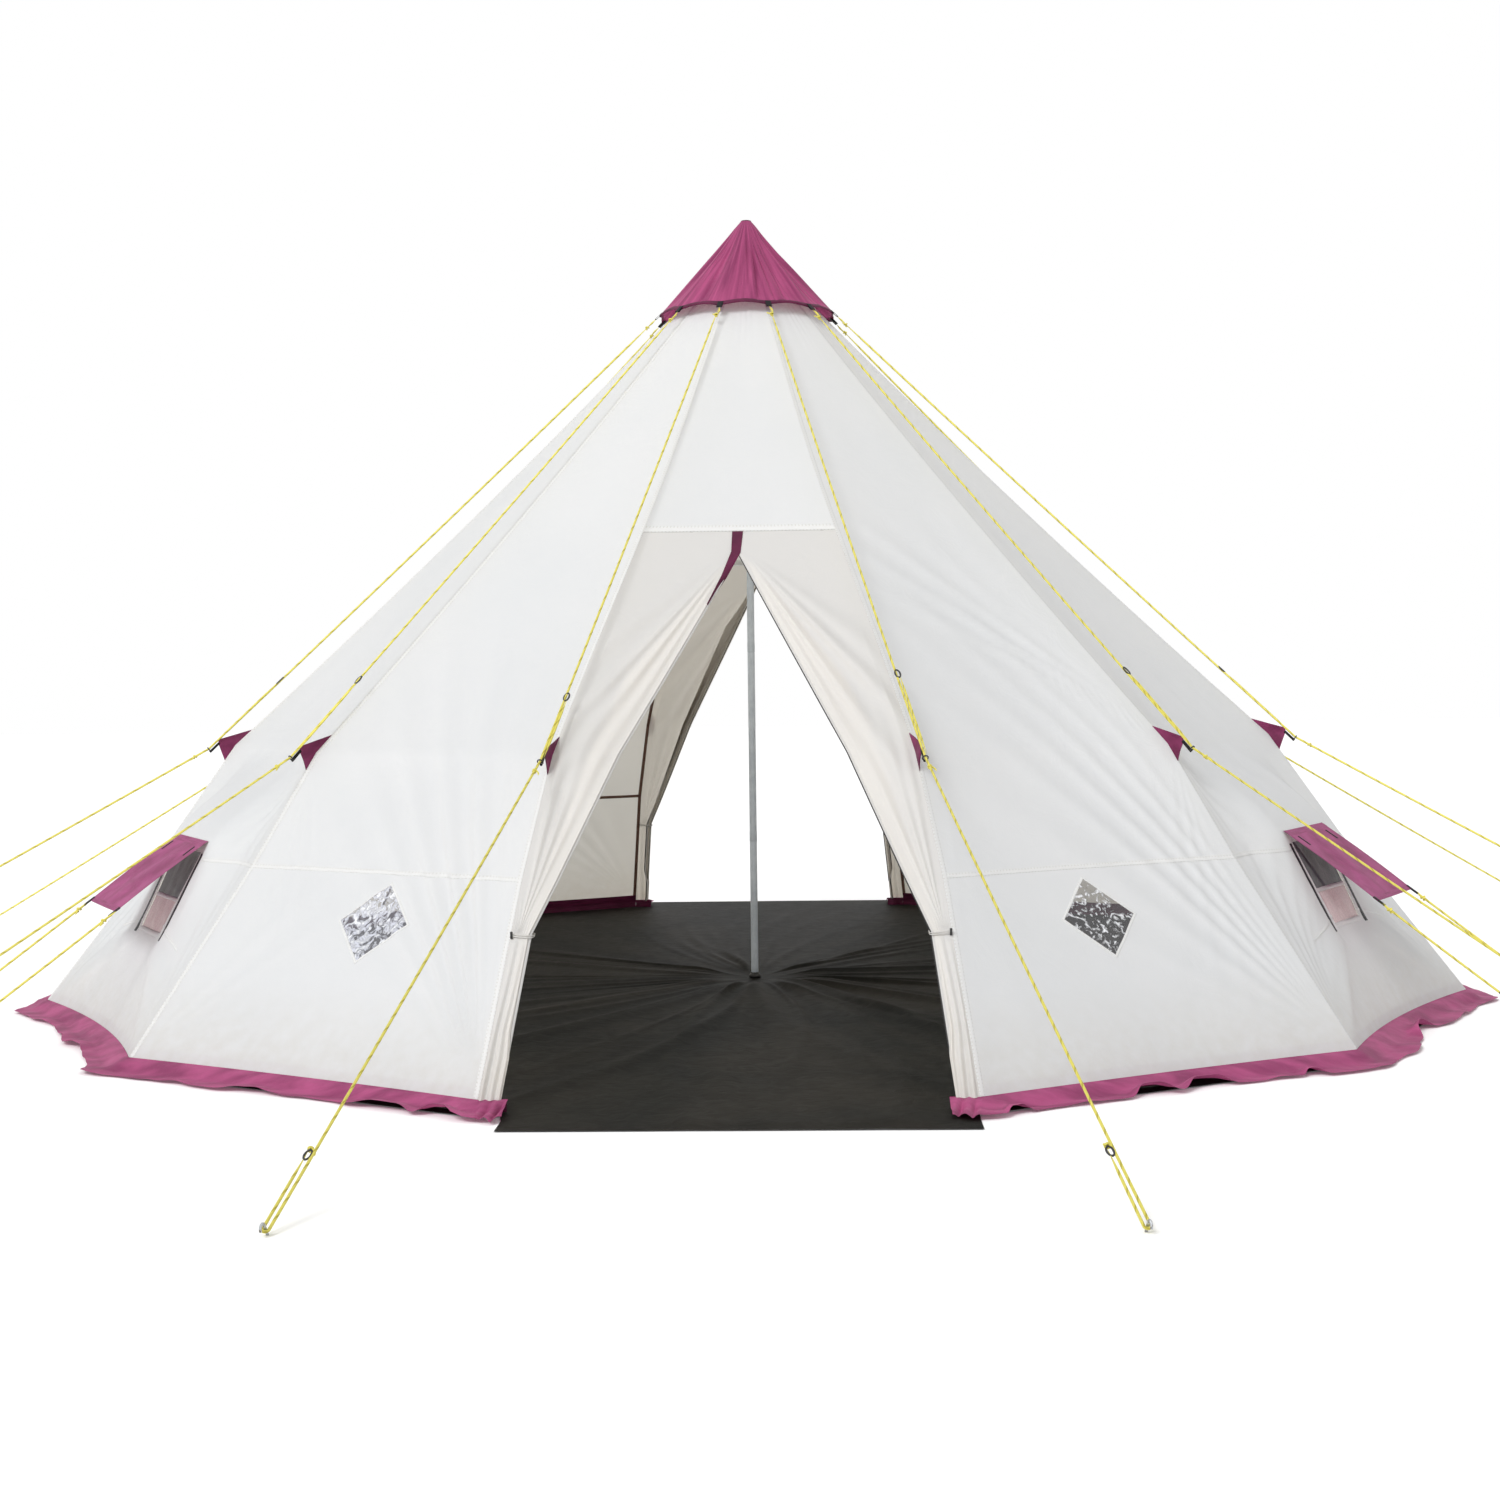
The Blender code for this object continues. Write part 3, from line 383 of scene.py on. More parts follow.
def pulled_share(height, across):
    """1 along an awning, 0 far from it: up the wall and across it a squared cosine, and down the wall a
    straight run to the foot of the vent's patch and another to the hem."""
    above = np.cos(np.clip((height - AWNING_HEIGHT) / (PULL_HEIGHT - AWNING_HEIGHT), 0, 1) * math.pi / 2) ** 2
    below = np.interp(height, (HEM_HEIGHT, PATCH_FOOT, AWNING_HEIGHT), (0.0, PATCH_PULL, 1.0))
    side = (np.abs(across) - 0.42) / 0.38
    return np.where(height > AWNING_HEIGHT, above, below) * np.cos(np.clip(side, 0, 1) * math.pi / 2) ** 2


def fold_fan(x, height, foot, way, spread, folds, depth, reach):
    """Tension folds that fan out from a foot at (x, height): a wave across the fan's angle, highest at
    its middle line and at the distance reach from the foot. way is the middle line's lean from upright."""
    dx, dz = x - foot[0], height - foot[1]
    far = np.hypot(dx, dz)
    off = np.angle(np.exp(1j * (np.arctan2(dx, dz) - way)))
    uneven = 1 + 0.3 * np.sin(4.1 * off + 31 * way + folds)
    turns = folds * off / spread * uneven + 0.35 * np.sin(3 * far + 17 * way)
    wave = (0.5 + 0.5 * np.cos(math.pi * turns)) ** 1.5 - 0.42
    return depth * wave * np.exp(-(off / spread) ** 2) * (far / reach) * np.exp(1 - far / reach)


# Each face's fans as (side of the foot, its height, lean, spread, folds, depth, reach).
FANS = {
    -30: ((1, 0.04, -0.5, 0.42, 6, 0.017, 0.45), (-1, 0.04, 0.75, 0.25, 2, 0.005, 0.3),
          (-1, 0.99, 2.8, 0.25, 3, 0.004, 0.2), (1, 0.62, -0.25, 0.3, 3, 0.004, 0.35)),
    30: ((1, 0.04, -0.62, 0.4, 7, 0.0065, 0.5), (-1, 0.04, 0.14, 0.16, 3, 0.004, 0.4),
         (1, 0.99, -2.85, 0.25, 3, 0.004, 0.2), (1, 0.99, -0.85, 0.22, 3, 0.006, 0.55)),
    -60: ((1, 0.04, -0.35, 0.35, 5, 0.008, 0.3), (-1, 0.04, 0.6, 0.3, 4, 0.006, 0.3),
          (1, 0.99, -2.7, 0.4, 3, 0.004, 0.2)),
    60: ((-1, 0.04, 0.42, 0.35, 5, 0.006, 0.3), (1, 0.04, -0.7, 0.3, 3, 0.006, 0.35),
         (-1, 0.99, 2.7, 0.4, 3, 0.004, 0.2)),
    -150: ((-1, 0.04, 0.85, 0.45, 6, 0.008, 0.5), (1, 0.99, -2.8, 0.25, 2, 0.003, 0.22),
           (1, 0.04, -0.45, 0.25, 3, 0.003, 0.4)),
    150: ((1, 0.04, -0.85, 0.45, 6, 0.008, 0.5), (-1, 0.99, 2.8, 0.25, 2, 0.003, 0.22),
          (-1, 0.04, 0.45, 0.25, 3, 0.003, 0.4)),
}
PLAIN_FANS = ((1, 0.04, -0.6, 0.3, 4, 0.004, 0.4), (-1, 0.04, 0.35, 0.25, 3, 0.003, 0.45),
              (1, 0.99, -2.8, 0.25, 2, 0.003, 0.22), (1, 0.99, -0.8, 0.2, 2, 0.004, 0.5))
FAN_STRENGTH = 1.7
# Below a vent the cloth folds from the vent's foot to the hem corners, as (start, end, depth, width).
VENT_RIDGES = (((0.165, 0.35), (0.7, 0.045), 0.02, 0.05), ((0.12, 0.34), (0.66, 0.045), 0.006, 0.018),
               ((0.2, 0.36), (0.71, 0.12), 0.007, 0.022))


def ridge_line(x, height, start, end, depth, width):
    """A straight fold between two places: a bell across its line that fades towards both ends."""
    run = np.subtract(end, start)
    along = ((x - start[0]) * run[0] + (height - start[1]) * run[1]) / (run @ run)
    off = ((x - start[0]) * run[1] - (height - start[1]) * run[0]) / math.sqrt(run @ run)
    return depth * np.exp(-np.abs(off / width) ** 1.5) * np.sin(math.pi * np.clip(along, 0, 1)) ** 0.6


def wall_relief(face, across, height, half):
    """How far the cloth stands proud of its plain sag: fans from hem corners and shoulders, gathers under
    the cap, and long shallow waves, all fading out at the seams, the hem and a header's lower edge."""
    degrees = round(math.degrees(face))
    x = across * half
    total = 0.003 * np.sin(9.0 * x + 1.7 * height + 0.13 * degrees) * np.sin(2.6 * height + 0.05 * degrees)
    total = total + 0.0005 * np.sin(31 * x - 6 * height + degrees) * np.cos(3.1 * height + 2 * x)
    for side, foot_height, *fan in FANS.get(degrees, () if abs(degrees) in (0, 180) else PLAIN_FANS):
        foot_half = float(seam_radius(foot_height)) * math.sin(HALF_FACE)
        total = total + FAN_STRENGTH * fold_fan(x, height, (side * foot_half, foot_height), *fan)
    if abs(degrees) == 60:
        total = total + sum(ridge_line(np.abs(x), height, *ridge) for ridge in VENT_RIDGES)
    gathers = 0.5 + 0.5 * np.cos(across * 21 + 2.2 * np.sin(across * 5 + degrees))
    total = total + 0.0035 * gathers * np.exp(-np.clip(2.76 - height, 0, 3) / 0.13)
    low = HEADER_HEIGHT if abs(degrees) in (0, 180) else HEM_HEIGHT
    total = total * (1 - across ** 4) * np.clip((height - low) / 0.07, 0, 1)
    return total * np.clip((2.9 - height) / 0.1, 0, 1)


def wall_point(face, across, height, lift=0.0):
    """The outer side of a face: the line between its seams, less its sag, plus its relief and lift."""
    across, height, lift = np.broadcast_arrays(across, height, lift)
    left, right = seam_point(face - HALF_FACE, height), seam_point(face + HALF_FACE, height)
    width = np.linalg.norm(right - left, axis=-1)
    offset = -face_sag(height, width) * (1 - across ** 2)
    relief = wall_relief(face, across, height, width / 2)
    if abs(abs(face) - VENT_FACE) < HALF_FACE:
        pulled = pulled_share(height, across)
        offset = offset * (1 - pulled) + AWNING_PULL * pulled
        relief = relief * (1 - pulled)
        below = np.clip((PATCH_FOOT - height) / (PATCH_FOOT - HEM_HEIGHT), 0, 1)
        offset = offset - HEM_BOW * (1 - across ** 2) * below
    offset = offset + relief + lift
    share = ((across + 1) / 2)[..., None]
    return left + (right - left) * share + outward_of(face) * offset[..., None]


def across_at(face, x, height):
    """The share from -1 to 1 between a face's seams that lies x metres along it from its middle line."""
    left, right = (seam_point(face + turn, height) @ along_of(face) for turn in (-HALF_FACE, HALF_FACE))
    return (2 * x - left - right) / (right - left)


def wall_at(face, x, height, lift=0.0):
    """The outer side of a face x metres along it from its middle line."""
    return wall_point(face, across_at(face, x, height), height, lift)


def flat_lengths(points):
    """Each point's place on the flat cloth: metres across from its row's middle, metres along its column."""
    steps = np.linalg.norm(np.diff(points, axis=0), axis=-1)
    along = np.concatenate([np.zeros((1, points.shape[1])), np.cumsum(steps, 0)])
    widths = np.linalg.norm(np.diff(points, axis=1), axis=-1)
    over = np.concatenate([np.zeros((points.shape[0], 1)), np.cumsum(widths, 1)], 1)
    return np.stack([over - over[:, -1:] / 2, along.mean(1, keepdims=True) + 0 * over], -1)


def flat_cut(points):
    """(width, length) and area of the cut that a grid of points was sewn from."""
    flat = flat_lengths(points)
    widths = flat[:, -1, 0] - flat[:, 0, 0]
    length = float(flat[-1, 0, 1])
    area = float((np.diff(flat[:, 0, 1]) * (widths[1:] + widths[:-1]) / 2).sum())
    return (float(widths.max()), length), area


def canvas_material(name, pale, shaded, soiled):
    """Coated canvas: fine plain weave, small packing creases, and a little mud splashed near the hem."""
    made, tree, out = new_material(name)
    place = add_node(tree, "TexCoord").outputs["Object"]
    flat = add_node(tree, "UVMap", uv_map="flat")
    # The threads are 0.5 mm apart; they are drawn 4 mm apart so that some weave shows from 6 m away.
    warp = add_node(tree, "TexWave", {"Vector": flat, "Scale": 78.0, "Distortion": 0.6}, bands_direction="X")
    weft = add_node(tree, "TexWave", {"Vector": flat, "Scale": 78.0, "Distortion": 0.6}, bands_direction="Y")
    weave = add_node(tree, "Math", {0: warp.outputs["Fac"], 1: weft.outputs["Fac"]}, operation="MULTIPLY")
    packing = add_node(tree, "TexNoise", {
        "Vector": place, "Scale": 7.0, "Detail": 8.0, "Roughness": 0.62, "Distortion": 0.8})
    cloudy = add_node(tree, "TexNoise", {"Vector": place, "Scale": 1.7, "Detail": 4.0})
    tone = add_node(tree, "Mix", {"Factor": cloudy, "A": srgb(pale), "B": srgb(shaded)}, data_type="RGBA")
    height = add_node(tree, "SeparateXYZ", {"Vector": place}).outputs["Z"]
    splash = add_node(tree, "MapRange", {
        "Value": height, "From Min": 0.04, "From Max": 0.3, "To Min": 0.55, "To Max": 0.0})
    speckle = add_node(tree, "TexNoise", {"Vector": place, "Scale": 24.0, "Detail": 7.0})
    mud = add_node(tree, "Math", {0: splash, 1: speckle}, operation="MULTIPLY")
    colour = add_node(tree, "Mix", {"Factor": mud, "A": tone, "B": srgb(soiled)}, data_type="RGBA")
    creased = add_node(tree, "Bump", {"Height": packing, "Strength": 0.35, "Distance": 0.008})
    woven = add_node(tree, "Bump", {"Height": weave, "Strength": 0.06, "Distance": 0.0006, "Normal": creased})
    gloss = add_node(tree, "MapRange", {"Value": packing, "To Min": 0.62, "To Max": 0.8})
    cloth = add_node(tree, "BsdfPrincipled", {
        "Base Color": colour, "Roughness": gloss, "Normal": woven, "Sheen Weight": 0.12,
        "Sheen Roughness": 0.5})
    # Daylight comes through the single layer, which is what lights the tent inside.
    warmed = add_node(tree, "Mix", {"Factor": 1.0, "A": colour, "B": srgb("#fff8ea")}, data_type="RGBA",
                      blend_type="MULTIPLY")
    through = add_node(tree, "BsdfTranslucent", {"Color": warmed, "Normal": woven})
    mixed = add_node(tree, "MixShader", {0: 0.38, 1: cloth, 2: through})
    tree.links.new(mixed.outputs[0], out.inputs[0])
    return made


def cut_opening(piece, face, outline):
    """Cuts a straight-sided opening through a face: a plane through each side splits the cloth there,
    and the cloth inside all of them goes."""
    cloth = bmesh.new()
    cloth.from_mesh(piece.data)
    along, outward = along_of(face), outward_of(face)
    middle = np.mean(outline, 0)
    planes = []
    for start, end in zip(outline, outline[1:] + outline[:1]):
        point = along * start[0] + UP * start[1]
        normal = np.cross(along * (end[0] - start[0]) + UP * (end[1] - start[1]), outward)
        normal /= np.linalg.norm(normal)
        inner = (along * middle[0] + UP * middle[1] - point) @ normal
        planes.append((point, -normal if inner > 0 else normal))
    size = max(math.dist(middle, corner) for corner in outline) + 0.05
    for point, normal in planes:
        near = [f for f in cloth.faces if abs(np.dot(f.calc_center_median(), along) - middle[0]) < size
                and abs(f.calc_center_median().z - middle[1]) < size]
        edges = {e for f in near for e in f.edges}
        bmesh.ops.bisect_plane(cloth, geom=[*near, *edges, *{v for f in near for v in f.verts}], dist=1e-6,
                               plane_co=point, plane_no=normal)
    inside = [f for f in cloth.faces
              if all((np.array(f.calc_center_median()) - point) @ normal < 0 for point, normal in planes)
              and np.dot(f.calc_center_median(), outward) > 0]
    bmesh.ops.delete(cloth, geom=inside, context="FACES")
    cloth.to_mesh(piece.data)
    cloth.free()


WINDOW_HEIGHT = 0.475
WINDOW_SHIFT = 0.03
WINDOW_HALF_WIDTH = 0.138
WINDOW_HALF_HEIGHT = 0.112
# Square metres of cloth that are cut away for a window, and below for a vent.
WINDOW_AREA = 0.039
VENT_TOP = 0.64
VENT_BOTTOM = 0.36
VENT_TOP_HALF = 0.172
VENT_BOTTOM_HALF = 0.137
VENT_AREA = 0.106
VENT_OUTLINE = [(-VENT_TOP_HALF, VENT_TOP), (VENT_TOP_HALF, VENT_TOP), (VENT_BOTTOM_HALF, VENT_BOTTOM),
                (-VENT_BOTTOM_HALF, VENT_BOTTOM)]


def window_outline(side):
    """A diamond window's corners as (along, height), from its top corner round to the right."""
    x = -WINDOW_SHIFT * side
    wide, high = WINDOW_HALF_WIDTH, WINDOW_HALF_HEIGHT
    return [(x, WINDOW_HEIGHT + high), (x + wide, WINDOW_HEIGHT), (x, WINDOW_HEIGHT - high),
            (x - wide, WINDOW_HEIGHT)]


canvas = canvas_material("off_white_coated_canvas", "#f9fafc", "#f0f3f6", "#d8d3c6")
# The doors' cloth is a darker copy of the wall canvas: painted shade.
door_canvas = canvas_material("door_canvas_painted_shade", "#f1f0ef", "#e7e6e5", "#d4cfc4")
# Rows lie closer near the hem and the peak, where the folds are small, and columns closer to the seams.
wall_rows = np.concatenate([np.linspace(HEM_HEIGHT, KNEE_HEIGHT, 60),
                            np.linspace(KNEE_HEIGHT, PULL_HEIGHT, 30)[1:],
                            np.linspace(PULL_HEIGHT, 2.4, 66)[1:], np.linspace(2.4, PEAK_HEIGHT, 46)[1:]])
wall_columns = np.sin(np.linspace(-1, 1, 131) * math.pi / 2) * 0.35 + np.linspace(-1, 1, 131) * 0.65
for side, word in SIDES:
    for number, title in ((1, "window"), (2, "vent"), (3, "side"), (4, "rear"), (5, "back")):
        face = side * number * 2 * HALF_FACE
        points = wall_point(face, wall_columns[None, :], wall_rows[:, None])
        wall = grid_piece(f"{title}_wall_{word}", [points], canvas, flat_lengths)
        size, area = flat_cut(points)
        if title == "window":
            cut_opening(wall, face, window_outline(side))
            area -= WINDOW_AREA
        if title == "vent":
            cut_opening(wall, face, VENT_OUTLINE)
            area -= VENT_AREA
        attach(wall, "tent")
        node = f"{title}_panel" if title in ("window", "vent") else "rear_quarter"
        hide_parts(f"{node}_{word}")
for face, place in ((0.0, "front"), (math.pi, "back")):
    points = wall_point(face, wall_columns[None, :], np.linspace(HEADER_HEIGHT, PEAK_HEIGHT, 70)[:, None])
    header = grid_piece(f"door_header_{place}", [points], canvas, flat_lengths)
    size, area = flat_cut(points)
    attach(header, "tent")
    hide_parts(f"header_{place}")


# Seams: every two walls meet in a flat-felled seam, a double-stitched band of the same cloth that
# stands just proud outside. A brown binding tape covers it inside, and bands cross at knee and header.

BAND_WIDTH = 0.018
BAND_LIFT = 0.0011


def band_material(name, pale, thread):
    """A narrow folded band with two rows of thread along it: v runs from 0 to 1 across, u in metres along."""
    made, tree, out = new_material(name)
    flat = add_node(tree, "UVMap", uv_map="flat")
    split = add_node(tree, "SeparateXYZ", {"Vector": flat})
    # Real stitches are 3 mm long; they are drawn 12 mm long, which still reads as thread close by.
    stitch = add_node(tree, "Math", {0: split.outputs["X"], 1: 520.0}, operation="MULTIPLY")
    stitch = add_node(tree, "Math", {0: stitch}, operation="SINE")
    rows = add_node(tree, "Math", {0: split.outputs["Y"], 1: 0.28}, operation="PINGPONG")
    near = add_node(tree, "Math", {0: rows, 1: 0.22, 2: 0.035}, operation="COMPARE")
    sewn = add_node(tree, "Math", {0: stitch, 1: near}, operation="MULTIPLY", use_clamp=True)
    wear = add_node(tree, "TexNoise", {"Vector": flat, "Scale": 30.0, "Detail": 4.0})
    tone = add_node(tree, "Mix", {"Factor": sewn, "A": srgb(pale), "B": srgb(thread)}, data_type="RGBA")
    pucker = add_node(tree, "Math", {0: wear, 1: sewn}, operation="SUBTRACT")
    drawn = add_node(tree, "Bump", {"Height": pucker, "Strength": 0.5, "Distance": 0.001})
    gloss = add_node(tree, "MapRange", {"Value": wear, "To Min": 0.6, "To Max": 0.8})
    cloth = add_node(tree, "BsdfPrincipled", {"Base Color": tone, "Roughness": gloss, "Normal": drawn})
    through = add_node(tree, "BsdfTranslucent", {"Color": tone})
    mixed = add_node(tree, "MixShader", {0: 0.36, 1: cloth, 2: through})
    tree.links.new(mixed.outputs[0], out.inputs[0])
    return made


def band_flat(points):
    """Metres along the band, and 0 to 1 across it."""
    steps = np.linalg.norm(np.diff(points[:, 0], axis=0), axis=-1)
    along = np.concatenate([[0], np.cumsum(steps)])[:, None] + np.zeros(points.shape[1])
    return np.stack([along, np.zeros(points.shape[0])[:, None] + np.linspace(0, 1, points.shape[1])], -1)


def wall_band(face, x_start, x_end, heights, lift=BAND_LIFT):
    """A raised band up a wall between two (along) distances from its middle line, given for each height."""
    shares = np.array([0.0, 0.06, 0.35, 0.65, 0.94, 1.0])
    raised = np.array([0.4, 1.0, 1.15, 1.15, 1.0, 0.4]) * lift
    x = x_start[:, None] + (x_end - x_start)[:, None] * shares
    return wall_at(face, x, heights[:, None], raised)


seam_band = band_material("felled_seam_band", "#f1f1f0", "#dedbd6")
brown_tape = band_material("brown_binding_tape", "#86695c", "#a08a7d")
outside, inside = [], []
band_rows = np.unique(np.clip(wall_rows, HEM_HEIGHT + 0.002, 2.9))
for seam in SEAM_ANGLES:
    to_wall = bow_way(seam) or 1
    face = seam + to_wall * HALF_FACE
    edge = seam_point(seam, band_rows) @ along_of(face)
    inner_end = edge + to_wall * np.minimum(BAND_WIDTH, seam_radius(band_rows) * 0.1)
    pair = (edge, inner_end) if to_wall > 0 else (inner_end, edge)
    outside.append(wall_band(face, *pair, band_rows))
    inside.append(wall_band(face, *pair, band_rows, -BAND_LIFT)[:, ::-1])
outer_seams = grid_piece("felled_seams", outside, seam_band, band_flat)
inner_seams = grid_piece("inside_seam_tapes", inside, brown_tape, band_flat)
crossing, crossing_inside = [], []
for number in WALL_NUMBERS:
    face = number * 2 * HALF_FACE
    up = np.array([-0.5, -0.45, -0.15, 0.15, 0.45, 0.5]) * 0.014 + KNEE_HEIGHT
    raised = np.array([0.1, 1.0, 1.15, 1.15, 1.0, 0.1]) * BAND_LIFT * 0.9
    runs = [np.linspace(-0.999, 0.999, 90)[:, None]]
    if abs(number) == 2:
        # The knee seam stops at the zips on either side of the vent.
        left_stop, right_stop = across_at(face, np.array([-0.215, 0.215]), KNEE_HEIGHT)
        runs = [np.linspace(-0.999, left_stop, 40)[:, None], np.linspace(right_stop, 0.999, 40)[:, None]]
    for run in runs:
        crossing.append(wall_point(face, run, up, raised)[:, ::-1])
        crossing_inside.append(wall_point(face, run, up, -raised))
# A short seam runs out and up from either side of a vent's foot.
for face in (-VENT_FACE, VENT_FACE):
    low = PATCH_FOOT + np.array([-0.5, -0.45, 0.45, 0.5]) * 0.009
    raised = np.array([0.2, 1.0, 1.0, 0.2]) * BAND_LIFT * 0.8
    for run in (np.linspace(-0.66, -0.21, 30)[:, None], np.linspace(0.21, 0.66, 30)[:, None]):
        crossing.append(wall_point(face, run, low + 0.12 * (0.66 - np.abs(run)), raised)[:, ::-1])
knee_seams = grid_piece("knee_seams", crossing, seam_band, band_flat)
knee_tapes = grid_piece("inside_knee_tapes", crossing_inside, brown_tape, band_flat)
lintels = []
for face in (0.0, math.pi):
    x = np.linspace(-0.998, 0.998, 60)[:, None]
    up = np.array([0.0, 0.001, 0.008, 0.016, 0.023, 0.024]) + HEADER_HEIGHT
    raised = np.array([-1.0, 1.2, 1.3, 1.3, 1.2, 0.1]) * BAND_LIFT
    lintels.append(wall_point(face, x, up, raised)[:, ::-1])
header_hems = grid_piece("header_hems", lintels, seam_band, band_flat)
for piece in (outer_seams, inner_seams, knee_seams, knee_tapes, header_hems):
    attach(piece, "tent")


# Windows: a diamond of clear sheet plastic sewn into each window wall behind a folded canvas
# binding. The plastic has been packed so often that it is crumpled all over and shines in facets.

# Old clear plastic is a thin grey film that shows the dark inside, with creases that catch the sky as
# sharp white lines, painted as highlights in the film's colour. Real creases are under 1 mm wide; they
# are drawn 4 to 8 mm wide. The left window's film is painted nearly white all over, a painted sky
# reflection, with clear dark specks left in it.
foil, tree, out = new_material("crumpled_clear_window")
place = add_node(tree, "TexCoord").outputs["Object"]
swirl = add_node(tree, "TexNoise", {"Vector": place, "Scale": 26.0, "Detail": 6.0, "Distortion": 2.4})
cloud = add_node(tree, "TexNoise", {"Vector": place, "Scale": 11.0, "Detail": 3.0})
pushed = add_node(tree, "VectorMath", {0: cloud.outputs["Color"], 1: (0.07, 0.07, 0.07), 2: place},
                  operation="MULTIPLY_ADD")
sideways = add_node(tree, "SeparateXYZ", {"Vector": place}).outputs["X"]
left_one = add_node(tree, "Math", {0: sideways, 1: 0.0}, operation="LESS_THAN")
# Painted sky reflection on the left window only, paler where the swirl is high.
painted_reflection = add_node(tree, "MapRange", {
    "Value": swirl, "From Min": 0.41, "From Max": 0.5, "To Min": 0.3, "To Max": 0.84})
painted_reflection = add_node(tree, "Math", {0: painted_reflection, 1: left_one}, operation="MULTIPLY")
crossings = []
for scale, wide, hidden in ((17.0, 0.15, 0.47), (40.0, 0.17, 0.53)):
    edges = add_node(tree, "TexVoronoi", {"Vector": pushed, "Scale": scale}, feature="DISTANCE_TO_EDGE")
    line = add_node(tree, "MapRange", {"Value": edges, "From Max": wide, "To Min": 1.0, "To Max": 0.0})
    lit = add_node(tree, "MapRange", {"Value": swirl, "From Min": hidden, "From Max": hidden + 0.06})
    crossings.append(add_node(tree, "Math", {0: line, 1: lit}, operation="MULTIPLY"))
glints = add_node(tree, "Math", {0: crossings[0], 1: crossings[1]}, operation="MAXIMUM")
milky = add_node(tree, "MapRange", {"Value": glints, "To Min": 0.34, "To Max": 0.95})
milky = add_node(tree, "Math", {0: milky, 1: painted_reflection}, operation="MAXIMUM")
film = add_node(tree, "Mix", {"Factor": painted_reflection, "A": srgb("#7b7b7e"), "B": srgb("#dfe2ee")},
                data_type="RGBA")
tone = add_node(tree, "Mix", {"Factor": glints, "A": film, "B": srgb("#f4f6fa")}, data_type="RGBA")
crushed = add_node(tree, "Bump", {"Height": glints, "Strength": 0.9, "Distance": 0.006})
pane = add_node(tree, "BsdfPrincipled", {
    "Base Color": tone, "Roughness": 0.14, "IOR": 1.53, "Alpha": milky, "Normal": crushed})
tree.links.new(pane.outputs[0], out.inputs[0])


def diamond_grid(side, steps):
    """A square grid turned on its corner: two shares from -1 to 1 whose half sum and half difference give
    the place across and up the diamond."""
    a, b = np.meshgrid(np.linspace(-1, 1, steps), np.linspace(-1, 1, steps))
    x = (a - b) / 2 * WINDOW_HALF_WIDTH - WINDOW_SHIFT * side
    return a, b, x, (a + b) / 2 * WINDOW_HALF_HEIGHT + WINDOW_HEIGHT


def crumpled(a, b, seed):
    """Relief of crushed sheet: the tallest of many slanted planes over each point, drawn flat at the rim."""
    chance = np.random.default_rng(seed)
    total = np.zeros(a.shape)
    for _ in range(3):
        slopes = chance.normal(0, 0.009, (26, 2))
        knots = chance.uniform(-1, 1, (26, 2))
        from_a, from_b = a - knots[:, :1, None], b - knots[:, 1:, None]
        planes = slopes[:, :1, None] * from_a + slopes[:, 1:, None] * from_b
        total += np.max(planes - 0.014 * np.hypot(from_a, from_b), 0)
    rim = np.clip(np.minimum(1 - np.abs(a), 1 - np.abs(b)) / 0.15, 0, 1)
    return (total - total.mean()) * rim


binding_grids = []
for side, word in SIDES:
    face = side * WINDOW_FACE
    a, b, x, height = diamond_grid(side, 61)
    points = wall_at(face, x, height, crumpled(a, b, 30 + side) - 0.0006)
    window = grid_piece(f"window_pane_{word}", [points], foil, flat_lengths)
    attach(window, "tent")
    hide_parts(f"window_{word}")
    corners = np.array(window_outline(side) + window_outline(side)[:1])
    around = np.linspace(0, 4, 121)
    rim = np.stack([np.interp(around, range(5), corners[:, k]) for k in (0, 1)], -1)
    middle = np.array([-WINDOW_SHIFT * side, WINDOW_HEIGHT])
    spread = np.array([-0.003, -0.002, 0.0, 0.005, 0.0085, 0.0095]) / 0.14
    place = middle + (rim - middle)[:, None] * (1 + spread[None, :, None])
    raised = np.array([-0.0006, 0.0012, 0.0016, 0.0016, 0.0013, 0.0001])
    binding_grids.append(wall_at(face, place[..., 0], place[..., 1], raised))
window_bindings = grid_piece("window_bindings", binding_grids, seam_band, band_flat, turned=True)
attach(window_bindings, "tent")


# Vents: behind each awning an opening with dark insect mesh above and a sheer rosy panel below, shut
# by a black zip down each side. Both are sewn behind the wall's edge.

MESH_FOOT = 0.475
ZIP_MARGIN = 0.026
ZIP_SPLAY = 0.014


def sheer_material(name, light, dark, clear, scale):
    """Thin open cloth: the threads' colour, with as much of what is behind as the gaps let through."""
    made, tree, out = new_material(name)
    place = add_node(tree, "TexCoord").outputs["Object"]
    hanging = add_node(tree, "Mapping", {"Vector": place, "Scale": (1.0, 1.0, 0.25)})
    folds = add_node(tree, "TexNoise", {"Vector": hanging, "Scale": scale, "Detail": 4.0, "Distortion": 0.7})
    # The tone is lighter and darker along the hanging folds: painted light and shade of the folds.
    tone = add_node(tree, "Mix", {"Factor": folds, "A": srgb(dark), "B": srgb(light)}, data_type="RGBA")
    # Mesh holes are 1 mm; they are drawn at 5 mm, in the colour and in how much shows through.
    holes = add_node(tree, "TexVoronoi", {"Vector": place, "Scale": 200.0})
    open_share = add_node(tree, "MapRange", {
        "Value": holes, "From Min": 0.2, "From Max": 0.7, "To Min": clear, "To Max": 0.97})
    knit = add_node(tree, "Bump", {"Height": folds, "Strength": 0.5, "Distance": 0.01})
    threads = add_node(tree, "BsdfPrincipled", {
        "Base Color": tone, "Roughness": 0.7, "Alpha": open_share, "Normal": knit})
    tree.links.new(threads.outputs[0], out.inputs[0])
    return made


insect_mesh = sheer_material("black_insect_mesh", "#62666e", "#22242b", 0.76, 22.0)
rosy_sheer = sheer_material("rosy_sheer_panel", "#ece0dd", "#c9a9ab", 0.8, 30.0)
